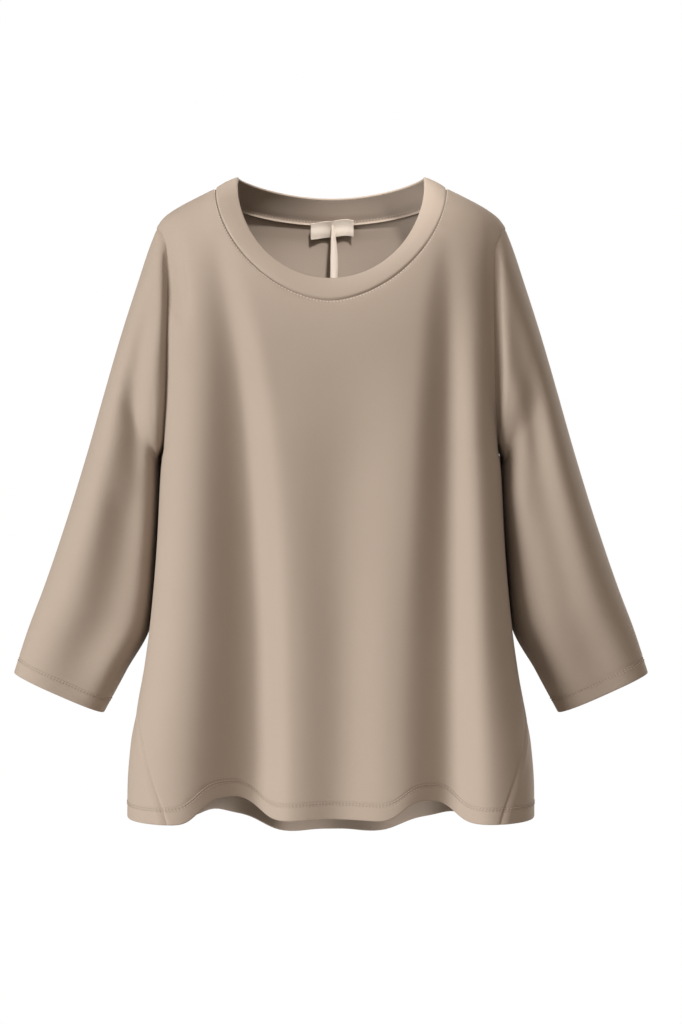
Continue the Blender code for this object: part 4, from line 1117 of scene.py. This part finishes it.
def hem_lines(outer, normals, closed):
    """The stitched lines above the lower edge of a panel or sleeve."""
    down = lengths_along(outer)
    outer, normals, to_hem = outer[::-1], normals[::-1], (down[-1:] - down)[::-1]
    return [
        (line_at(outer, to_hem, height), line_at(normals, to_hem, height), closed)
        for height in HEM_STITCHES
    ]


def stitch_tree(material):
    """Geometry Nodes tree that lays thread stitches along lines on the cloth."""
    tree = bpy.data.node_groups.new("Stitches along a line", "GeometryNodeTree")
    face = tree.interface
    face.new_socket("Line", in_out="INPUT", socket_type="NodeSocketGeometry")
    for label, value in (
        ("Pitch", 0.0032), ("Stitch length", 0.0024), ("Thread radius", 0.0003), ("Turn", 0.0),
    ):
        face.new_socket(label, in_out="INPUT", socket_type="NodeSocketFloat").default_value = value
    face.new_socket("Stitches", in_out="OUTPUT", socket_type="NodeSocketGeometry")
    source, result, curve, spaced, tangent, outward, run_it, face_it, turn_it, spin, euler = [
        tree.nodes.new(kind) for kind in (
            "NodeGroupInput", "NodeGroupOutput", "GeometryNodeMeshToCurve",
            "GeometryNodeResampleCurve", "GeometryNodeInputTangent",
            "GeometryNodeInputNamedAttribute", "FunctionNodeAlignRotationToVector",
            "FunctionNodeAlignRotationToVector", "FunctionNodeRotateRotation",
            "ShaderNodeCombineXYZ", "FunctionNodeEulerToRotation",
        )
    ]
    thread, half, size, lay, real, paint = [
        tree.nodes.new(kind) for kind in (
            "GeometryNodeMeshUVSphere", "ShaderNodeMath", "ShaderNodeCombineXYZ",
            "GeometryNodeInstanceOnPoints", "GeometryNodeRealizeInstances",
            "GeometryNodeSetMaterial",
        )
    ]
    spaced.mode = "LENGTH"
    outward.data_type = "FLOAT_VECTOR"
    outward.inputs["Name"].default_value = "outward"
    run_it.axis, face_it.axis, face_it.pivot_axis = "X", "Z", "X"
    turn_it.rotation_space = "LOCAL"
    thread.inputs["Segments"].default_value = 6
    thread.inputs["Rings"].default_value = 5
    thread.inputs["Radius"].default_value = 1.0
    half.operation = "MULTIPLY"
    half.inputs[1].default_value = 0.5
    paint.inputs["Material"].default_value = material
    for start, output, end, into in (
        (source, "Line", curve, "Mesh"),
        (curve, "Curve", spaced, "Curve"),
        (source, "Pitch", spaced, "Length"),
        (tangent, "Tangent", run_it, "Vector"),
        (run_it, "Rotation", face_it, "Rotation"),
        (outward, "Attribute", face_it, "Vector"),
        (source, "Turn", spin, "Z"),
        (spin, "Vector", euler, "Euler"),
        (face_it, "Rotation", turn_it, "Rotation"),
        (euler, "Rotation", turn_it, "Rotate By"),
        (source, "Stitch length", half, 0),
        (half, "Value", size, "X"),
        (source, "Thread radius", size, "Y"),
        (source, "Thread radius", size, "Z"),
        (spaced, "Curve", lay, "Points"),
        (thread, "Mesh", lay, "Instance"),
        (turn_it, "Rotation", lay, "Rotation"),
        (size, "Vector", lay, "Scale"),
        (lay, "Instances", real, "Geometry"),
        (real, "Geometry", paint, "Geometry"),
        (paint, "Geometry", result, "Stitches"),
    ):
        tree.links.new(start.outputs[output], end.inputs[into])
    return tree


def sew(name, lines, material, pitch, length, radius, turn):
    """Stitches along lines of (points, outward directions), as one plain mesh."""
    points, edges, outward = [], [], []
    for line, directions, closed in lines:
        first = len(points)
        points += (line + directions * radius * STITCH_LIFT).tolist()
        outward += directions.tolist()
        edges += [(first + k, first + k + 1) for k in range(len(line) - 1)]
        if closed:
            edges.append((first + len(line) - 1, first))
    mesh = bpy.data.meshes.new(name + "_line")
    mesh.from_pydata(points, edges, [])
    layer = mesh.attributes.new("outward", "FLOAT_VECTOR", "POINT")
    layer.data.foreach_set("vector", np.array(outward, dtype=np.float32).ravel())
    guide = add_object(name + "_line", mesh)
    tree = stitch_tree(material)
    modifier = guide.modifiers.new("Stitches", "NODES")
    modifier.node_group = tree
    values = {"Pitch": pitch, "Stitch length": length, "Thread radius": radius, "Turn": turn}
    for socket in tree.interface.items_tree:
        if socket.in_out == "INPUT" and socket.name in values:
            modifier[socket.identifier] = values[socket.name]
    deps = bpy.context.evaluated_depsgraph_get()
    made = bpy.data.meshes.new_from_object(guide.evaluated_get(deps), depsgraph=deps)
    made.name = name
    item = add_object(name, made)
    bpy.data.objects.remove(guide, do_unlink=True)
    if not len(made.polygons):
        raise RuntimeError(name + " has no stitches")
    made.shade_smooth()
    return item


# ---- materials ----
WEAVE_PITCH = 0.0005      # of the label and ribbon, for two threads
KNIT_SLANT = 1.4          # how far a loop's sides rise across a wale, in courses
KNIT_LOOPS = 0.3          # height of the loops against that of the wales
KNIT_MOTTLE = (900.0, 3.0)      # scale and detail of the fine mottling of the yarn
KNIT_CLOUD = (14.0, 2.0)        # and of the wide one of the cloth
THREAD_GRAIN = (2600.0, 2.0)    # and of the grain of the thread
KNIT_SHADES = (0.55, 0.25, 0.06)   # parts of the two mottlings and of the loops in the colour; the loops' part is painted shade, darker in their grooves
KNIT_SHADE_START = 0.10
KNIT_FUZZ = 0.8           # part of the fine mottling in the relief


def new_material(name):
    material = bpy.data.materials.new(name)
    material.use_nodes = True
    tree = material.node_tree
    return material, tree, tree.nodes["Principled BSDF"]


def math_node(tree, operation, a, b=None, c=None):
    """A Math node; each value is a number or a socket."""
    node = tree.nodes.new("ShaderNodeMath")
    node.operation = operation
    for index, value in enumerate((a, b, c)):
        if value is None:
            continue
        if isinstance(value, (int, float)):
            node.inputs[index].default_value = value
        else:
            tree.links.new(value, node.inputs[index])
    return node.outputs["Value"]


def cloth_place(tree):
    """The place on the cloth, whole and as its two parts across and along."""
    place = tree.nodes.new("ShaderNodeUVMap")
    place.uv_map = "cloth"
    parts = tree.nodes.new("ShaderNodeSeparateXYZ")
    tree.links.new(place.outputs["UV"], parts.inputs["Vector"])
    return place.outputs["UV"], parts.outputs["X"], parts.outputs["Y"]


def object_place(tree):
    return tree.nodes.new("ShaderNodeTexCoord").outputs["Object"]


def noise_node(tree, place, scale, detail):
    """Soft noise read at a place."""
    noise = tree.nodes.new("ShaderNodeTexNoise")
    noise.inputs["Scale"].default_value = scale
    noise.inputs["Detail"].default_value = detail
    tree.links.new(place, noise.inputs["Vector"])
    return noise.outputs["Fac"]


def mix_colours(tree, shader, factor, low, high):
    """Let a factor choose the shader's colour between two."""
    mix = tree.nodes.new("ShaderNodeMix")
    mix.data_type = "RGBA"
    tree.links.new(factor, mix.inputs["Factor"])
    mix.inputs["A"].default_value = (*low, 1.0)
    mix.inputs["B"].default_value = (*high, 1.0)
    tree.links.new(mix.outputs["Result"], shader.inputs["Base Color"])


def add_bump(tree, shader, height, strength, distance):
    """Let a height tilt the shader's surface."""
    bump = tree.nodes.new("ShaderNodeBump")
    bump.inputs["Strength"].default_value = strength
    bump.inputs["Distance"].default_value = distance
    tree.links.new(height, bump.inputs["Height"])
    tree.links.new(bump.outputs["Normal"], shader.inputs["Normal"])


def knit_material(name, colour, mottle_and_groove_shade, wale, course, relief):
    """Fine smooth jersey: tiny V stitches in upright wales, soft haze and slight mottling, with
    painted shade that darkens the colour in the loops' grooves.
    """
    material, tree, shader = new_material(name)
    place, x, y = cloth_place(tree)
    in_wale = math_node(tree, "PINGPONG", math_node(tree, "DIVIDE", x, wale), 0.5)
    up = math_node(tree, "DIVIDE", y, course)
    slant = math_node(tree, "ADD", up, math_node(tree, "MULTIPLY", in_wale, KNIT_SLANT))
    loops = math_node(tree, "SINE", math_node(tree, "MULTIPLY", slant, 2 * math.pi))
    rib = math_node(tree, "SINE", math_node(tree, "MULTIPLY", in_wale, 2 * math.pi))
    height = math_node(tree, "ADD", math_node(tree, "MULTIPLY", loops, KNIT_LOOPS), rib)
    mottle = noise_node(tree, place, *KNIT_MOTTLE)
    cloud = noise_node(tree, object_place(tree), *KNIT_CLOUD)
    shade = KNIT_SHADE_START
    # The colour goes darker with the two mottlings and, as painted shade, in the low grooves of the
    # loops' relief
    for source, part in zip((mottle, cloud, height), KNIT_SHADES):
        shade = math_node(tree, "MULTIPLY_ADD", source, part, shade)
    mix_colours(tree, shader, shade, mottle_and_groove_shade, colour)
    surface = math_node(tree, "MULTIPLY_ADD", mottle, KNIT_FUZZ, height)
    add_bump(tree, shader, surface, 0.35, relief)
    shader.inputs["Roughness"].default_value = 0.82
    shader.inputs["Specular IOR Level"].default_value = 0.25
    shader.inputs["Sheen Weight"].default_value = 0.12
    shader.inputs["Sheen Roughness"].default_value = 0.45
    shader.inputs["Sheen Tint"].default_value = (0.92, 0.84, 0.76, 1.0)
    return material


def scaled(colour, factor):
    """A lighter or darker colour."""
    return [min(1.0, factor * value) for value in colour]


def thread_material(name, colour):
    """Twisted sewing thread with a fine grain."""
    material, tree, shader = new_material(name)
    grain = noise_node(tree, object_place(tree), *THREAD_GRAIN)
    mix_colours(tree, shader, grain, scaled(colour, 0.82), scaled(colour, 1.12))
    shader.inputs["Roughness"].default_value = 0.55
    shader.inputs["Sheen Weight"].default_value = 0.1
    return material


def weave_material(name, colour, roughness):
    """Fine plain weave of the label and satin of the ribbon."""
    material, tree, shader = new_material(name)
    warp, weft = [
        math_node(tree, "SINE", math_node(tree, "MULTIPLY", place, 2 * math.pi / WEAVE_PITCH))
        for place in cloth_place(tree)[1:]
    ]
    cloth = math_node(tree, "MULTIPLY", warp, weft)
    shade = math_node(tree, "MULTIPLY_ADD", cloth, 0.5, 0.5)
    mix_colours(tree, shader, shade, scaled(colour, 0.93), colour)
    add_bump(tree, shader, cloth, 0.3, 0.00008)
    shader.inputs["Roughness"].default_value = roughness
    return material


def named_material(name, make, *values):
    """The material of that name, made on its first use."""
    return bpy.data.materials.get(name) or make(name, *values)


def knit(settings):
    """The jersey of every cloth piece."""
    return named_material("knit jersey", knit_material, tuple(settings.colour),
                          tuple(settings.mottle_and_groove_shade_colour), settings.wale, settings.course,
                          settings.relief)


def thread(name, colour):
    """Sewing thread of that colour."""
    return named_material(name, thread_material, tuple(colour))


# ---- sizes and colours a user may change ----
def size_value(name, about, default, low, high):
    return FloatProperty(name=name, description=about, default=default, min=low, max=high,
                         unit="LENGTH")


def colour_value(name, about, default):
    return FloatVectorProperty(name=name, description=about, default=default, subtype="COLOR",
                               size=3, min=0, max=1)


def light_value(name, about, default, high):
    return FloatProperty(name=name, description=about, default=default, min=0, max=high)


class SweaterCloth(PropertyGroup):
    layer: size_value("Cloth", "Thickness of one layer", 0.0016, 0.0008, 0.003)
    double_layer: size_value("Double cloth", "Thickness of hems and neckband", 0.0030, 0.0016, 0.005)
    colour: colour_value("Colour", "Colour of the loops' faces", (0.392, 0.318, 0.258))
    # Darker colour that the mottling and the painted shade in the loops' grooves pull the cloth
    # towards
    mottle_and_groove_shade_colour: colour_value("Deep colour", "Colour between the loops", (0.318, 0.256, 0.206))
    wale: size_value("Wale", "Width of one column of loops", 0.0010, 0.0004, 0.003)
    course: size_value("Course", "Height of one row of loops", 0.0007, 0.0003, 0.003)
    relief: size_value("Relief", "Depth of the loops", 0.00012, 0.0, 0.001)


class SweaterSewing(PropertyGroup):
    pitch: size_value("Stitch pitch", "From one stitch to the next", 0.0034, 0.001, 0.008)
    stitch: size_value("Stitch length", "Length of thread that shows", 0.0019, 0.0008, 0.007)
    radius: size_value("Thread radius", "Half thickness of the thread", 0.00050, 0.0001, 0.001)
    thread_colour: colour_value("Thread", "Colour of the sewing thread", (0.43, 0.35, 0.28))
    neck_colour: colour_value("Neck thread", "Colour of the thread at the neck", (0.70, 0.60, 0.51))
    ribbon_colour: colour_value("Ribbon", "Colour of the ribbon loop", (0.64, 0.55, 0.47))
    label_colour: colour_value("Label", "Colour of the neck label", (0.90, 0.79, 0.68))


class SweaterStudio(PropertyGroup):
    distance: size_value("Camera distance", "From the camera to the garment", 2.6, 0.5, 10)
    lens: FloatProperty(name="Lens", description="Focal length", default=87.9, min=20, max=300,
                        unit="CAMERA")
    key_strength: light_value("Key light", "Strength of the light from the left", 3.9, 20)
    fill_strength: light_value("Fill light", "Strength of the light from the front", 0.85, 20)
    back_strength: light_value("Back light", "Strength of the light from behind", 1.6, 20)
    neck_power: FloatProperty(name="Neck light", description="Power of the light into the neck",
                              default=270.0, min=0, max=1000, subtype="POWER")
    ambient: light_value("Ambient", "Light from all round", 0.24, 2)


# ---- operators ----
class SweaterPiece:
    """What the operators of all pieces share."""

    bl_options = {"REGISTER", "UNDO"}

    @property
    def cloth(self):
        return bpy.context.scene.sweater_cloth

    @property
    def sewing(self):
        return bpy.context.scene.sweater_sewing


def body_stitch_lines(name, over_back, cloth):
    """Stitched lines of a body panel: above its hem, beside the neck seam, beside its armholes."""
    outer, inner, _, _ = body_panel(name, over_back, cloth)
    normals = unit(outer - inner)
    down = lengths_along(outer)
    neck, neck_facing = line_at(outer, down, NECK_STITCH), line_at(normals, down, NECK_STITCH)
    inside = np.abs(neck[:, 0]) < NECK_HALF_WIDTH + NECK_STITCH_REACH
    armholes = []
    for points, facing in ((outer, normals), (outer[:, ::-1], normals[:, ::-1])):
        points, facing = points.transpose(1, 0, 2), facing.transpose(1, 0, 2)
        aside = lengths_along(points)
        line = line_at(points, aside, ARMHOLE_STITCH)
        beside = (line[:, 2] > ARMPIT_HEIGHT) & (line[:, 2] < SHOULDER_TIP_HEIGHT)
        armholes.append((line[beside], line_at(facing, aside, ARMHOLE_STITCH)[beside], False))
    return hem_lines(outer, normals, False), (neck[inside], neck_facing[inside], False), armholes


class SWEATER_OT_body(SweaterPiece, Operator):
    """Front and back panels"""

    bl_idname = "sweater.body"
    bl_label = "Body panels"

    def execute(self, context):
        for name, over_back, flat, area in (
            ("body_front", False, (0.60, 0.65), 0.262),
            ("body_back", True, (0.81, 0.68), 0.325),
        ):
            shell = body_panel(name, over_back, self.cloth)
            cloth_piece(name + "_cloth", shell, False, over_back, name,
                        knit(self.cloth))
        return {"FINISHED"}


class SWEATER_OT_sleeves(SweaterPiece, Operator):
    """Left and right sleeve"""

    bl_idname = "sweater.sleeves"
    bl_label = "Sleeves"

    def execute(self, context):
        for name, side in (("sleeve_left", 1), ("sleeve_right", -1)):
            shell = sleeve_shell(name, side, self.cloth)
            cloth_piece(name + "_cloth", shell, True, side > 0, name,
                        knit(self.cloth))
        return {"FINISHED"}


class SWEATER_OT_neckband(SweaterPiece, Operator):
    """Neckband with its folded edge"""

    bl_idname = "sweater.neckband"
    bl_label = "Neckband"

    def execute(self, context):
        cloth_piece("neckband_cloth", neckband_shell(self.cloth), True, False, "neckband",
                    knit(self.cloth))
        return {"FINISHED"}


class SWEATER_OT_label(SweaterPiece, Operator):
    """Bare neck label and its ribbon loop"""

    bl_idname = "sweater.label"
    bl_label = "Label and ribbon"

    def execute(self, context):
        sewing = self.sewing
        tape = named_material("woven tape", weave_material, tuple(sewing.label_colour), 0.75)
        satin = named_material("satin ribbon", weave_material, tuple(sewing.ribbon_colour), 0.55)
        cloth_piece("neck_label_tape", label_shell(), False, False, "neck_label",
                    tape)
        cloth_piece("ribbon_loop", ribbon_shell(), False, False, "label_ribbon",
                    satin)
        return {"FINISHED"}


def overlock_line(cloth):
    """Line of the overlocked edge above the neck seam, inside the back."""
    outer, inner, _, up = neckband_shell(cloth)
    facing = unit(inner - outer)[::-1]
    line = line_at(inner[::-1], up[::-1], OVERLOCK_MIDDLE)
    back = len(line) // 2 + 1
    return line[back:], line_at(facing, up[::-1], OVERLOCK_MIDDLE)[back:], False


class SWEATER_OT_stitches(SweaterPiece, Operator):
    """Stitched lines of hems, cuffs, neck and armholes, and the overlock inside the neck"""

    bl_idname = "sweater.stitches"
    bl_label = "Sewing"

    def execute(self, context):
        sewing = self.sewing
        material = thread("sewing thread", sewing.thread_colour)
        pale = thread("pale neck thread", sewing.neck_colour)
        hem, neck, armholes = [], [], []
        for name, over_back in (("body_front", False), ("body_back", True)):
            lines, beside_neck, beside_arms = body_stitch_lines(name, over_back, self.cloth)
            hem += lines
            neck.append(beside_neck)
            armholes += beside_arms
        cuffs = []
        for name, side in (("sleeve_left", 1), ("sleeve_right", -1)):
            outer, inner, _, _ = sleeve_shell(name, side, self.cloth)
            cuffs += hem_lines(outer, unit(outer - inner), True)
        overlock = [overlock_line(self.cloth)]
        for name, lines, paint, length, turn in (
            ("hem_stitches", hem, material, sewing.stitch, 0.0),
            ("neck_stitches", neck, pale, sewing.stitch, 0.0),
            ("armhole_stitches", armholes, material, sewing.stitch, 0.0),
            ("overlock_stitches", overlock, material, OVERLOCK_LENGTH, math.pi / 2),
            ("cuff_stitches", cuffs, material, sewing.stitch, 0.0),
        ):
            item = sew(name, lines, paint, sewing.pitch, length, sewing.radius, turn)
            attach(item, "root")
        return {"FINISHED"}


FLOOR_STEPS, FLOOR_RADIUS, FLOOR_HEIGHT = 96, 1.6, -1.25
FLOOR_COLOUR = (0.86, 0.86, 0.86, 1.0)
SEEN_COLOUR = (1.0, 1.0, 1.0, 1.0)      # of the surroundings in the picture
SOFT_COLOUR = (1.0, 0.87, 0.74, 1.0)    # and of the light they give
# Distant lights: name, degrees round from the front, degrees up, spread in radians, the
# setting with its strength, and colour.
LIGHTS = (
    ("key_light", -57.0, 5.0, 0.55, "key_strength", (0.985, 0.99, 1.0)),
    ("fill_light", 16.0, 42.0, 0.90, "fill_strength", (1.0, 0.93, 0.86)),
    ("back_light", 150.0, 8.0, 0.60, "back_strength", (1.0, 0.96, 0.92)),
)
NECK_LIGHT_PLACE, NECK_LIGHT_TARGET = Vector((0.28, -0.95, 1.10)), Vector((0.0, 0.07, -0.05))
NECK_LIGHT_CONE = math.radians(7.6)
NECK_LIGHT_BLEND, NECK_LIGHT_SIZE = 0.5, 0.12
CAMERA_X, CAMERA_HEIGHT, SENSOR_WIDTH, NEAR_LIMIT = 0.0104, -0.336, 36.0, 0.05


class SWEATER_OT_stage(SweaterPiece, Operator):
    """Floor, lights, surroundings and camera"""

    bl_idname = "sweater.stage"
    bl_label = "Studio"

    def execute(self, context):
        studio = context.scene.sweater_studio
        self.make_floor()
        self.make_world(studio.ambient)
        self.make_lights(studio)
        self.make_camera(studio)
        return {"FINISHED"}

    def make_floor(self):
        """Round pale floor far below the hanging garment."""
        angle = np.linspace(0, 2 * math.pi, FLOOR_STEPS, endpoint=False)
        points = [
            (FLOOR_RADIUS * math.cos(a), FLOOR_RADIUS * math.sin(a), FLOOR_HEIGHT) for a in angle
        ]
        mesh = bpy.data.meshes.new("studio_floor")
        mesh.from_pydata(points, [], [tuple(range(FLOOR_STEPS))])
        floor = add_object("studio_floor", mesh)
        material, _, shader = new_material("pale floor")
        shader.inputs["Base Color"].default_value = FLOOR_COLOUR
        shader.inputs["Roughness"].default_value = 0.9
        mesh.materials.append(material)

    def make_world(self, ambient):
        """White surroundings that give only a soft light."""
        world = bpy.data.worlds.new("studio surroundings")
        bpy.context.scene.world = world
        world.use_nodes = True
        tree = world.node_tree
        tree.nodes.clear()
        rays = tree.nodes.new("ShaderNodeLightPath")
        mix = tree.nodes.new("ShaderNodeMixShader")
        output = tree.nodes.new("ShaderNodeOutputWorld")
        tree.links.new(rays.outputs["Is Camera Ray"], mix.inputs["Fac"])
        for slot, colour, strength in ((1, SOFT_COLOUR, ambient), (2, SEEN_COLOUR, 1.0)):
            sky = tree.nodes.new("ShaderNodeBackground")
            sky.inputs["Color"].default_value = colour
            sky.inputs["Strength"].default_value = strength
            tree.links.new(sky.outputs["Background"], mix.inputs[slot])
        tree.links.new(mix.outputs["Shader"], output.inputs["Surface"])

    def make_lights(self, studio):
        """An even soft key light from the left, and weaker ones from the front and behind."""
        for name, turn, rise, spread, strength, colour in LIGHTS:
            data = bpy.data.lights.new(name, "SUN")
            data.energy = getattr(studio, strength)
            data.angle = spread
            data.color = colour
            around, above = math.radians(turn), math.radians(rise)
            place = Vector((math.sin(around), -math.cos(around), math.tan(above))) * 3
            self.aim(add_object(name, data), place, Vector())
        self.make_neck_light(studio.neck_power)

    def aim(self, lamp, place, target):
        """Put a light in its place and turn it to its target."""
        lamp.location = place
        lamp.rotation_euler = (target - place).to_track_quat("-Z", "Y").to_euler()

    def make_neck_light(self, power):
        """Narrow light from high in front that reaches only the inside of the back neck."""
        data = bpy.data.lights.new("neck_light", "SPOT")
        data.energy = power
        data.spot_size = NECK_LIGHT_CONE
        data.spot_blend = NECK_LIGHT_BLEND
        data.shadow_soft_size = NECK_LIGHT_SIZE
        self.aim(add_object("neck_light", data), NECK_LIGHT_PLACE, NECK_LIGHT_TARGET)

    def make_camera(self, studio):
        """Camera straight in front, as in the photograph."""
        data = bpy.data.cameras.new("photo_camera")
        data.lens = studio.lens
        data.sensor_width = SENSOR_WIDTH
        data.sensor_fit = "AUTO"
        data.clip_start = NEAR_LIMIT
        camera = add_object("photo_camera", data)
        camera.location = (CAMERA_X, -studio.distance, CAMERA_HEIGHT)
        camera.rotation_euler = (math.radians(90), 0.0, 0.0)
        bpy.context.scene.camera = camera
        bpy.context.scene.view_settings.view_transform = "Standard"


class SWEATER_PT_panel(Panel):
    """Sidebar panel with the sweater's pieces and values"""

    bl_label = "Sweater"
    bl_idname = "SWEATER_PT_panel"
    bl_space_type = "VIEW_3D"
    bl_region_type = "UI"
    bl_category = "Sweater"

    def draw(self, context):
        for group in ("sweater_cloth", "sweater_sewing", "sweater_studio"):
            box = self.layout.box()
            settings = getattr(context.scene, group)
            for name in settings.__annotations__:
                box.prop(settings, name)
        for operator in OPERATORS:
            self.layout.operator(operator.bl_idname)


GROUPS = (
    ("sweater_cloth", SweaterCloth),
    ("sweater_sewing", SweaterSewing),
    ("sweater_studio", SweaterStudio),
)
OPERATORS = (
    SWEATER_OT_body, SWEATER_OT_sleeves, SWEATER_OT_neckband, SWEATER_OT_label,
    SWEATER_OT_stitches, SWEATER_OT_stage,
)


def register():
    for name, group in GROUPS:
        bpy.utils.register_class(group)
        setattr(bpy.types.Scene, name, PointerProperty(type=group))
    for item in OPERATORS + (SWEATER_PT_panel,):
        bpy.utils.register_class(item)


def unregister():
    for item in reversed(OPERATORS + (SWEATER_PT_panel,)):
        bpy.utils.unregister_class(item)
    for name, group in reversed(GROUPS):
        delattr(bpy.types.Scene, name)
        bpy.utils.unregister_class(group)


def main():
    register()
    bpy.ops.sweater.body()
    bpy.ops.sweater.sleeves()
    bpy.ops.sweater.neckband()
    bpy.ops.sweater.label()
    bpy.ops.sweater.stitches()
    bpy.ops.sweater.stage()


if __name__ == "__main__":
    main()
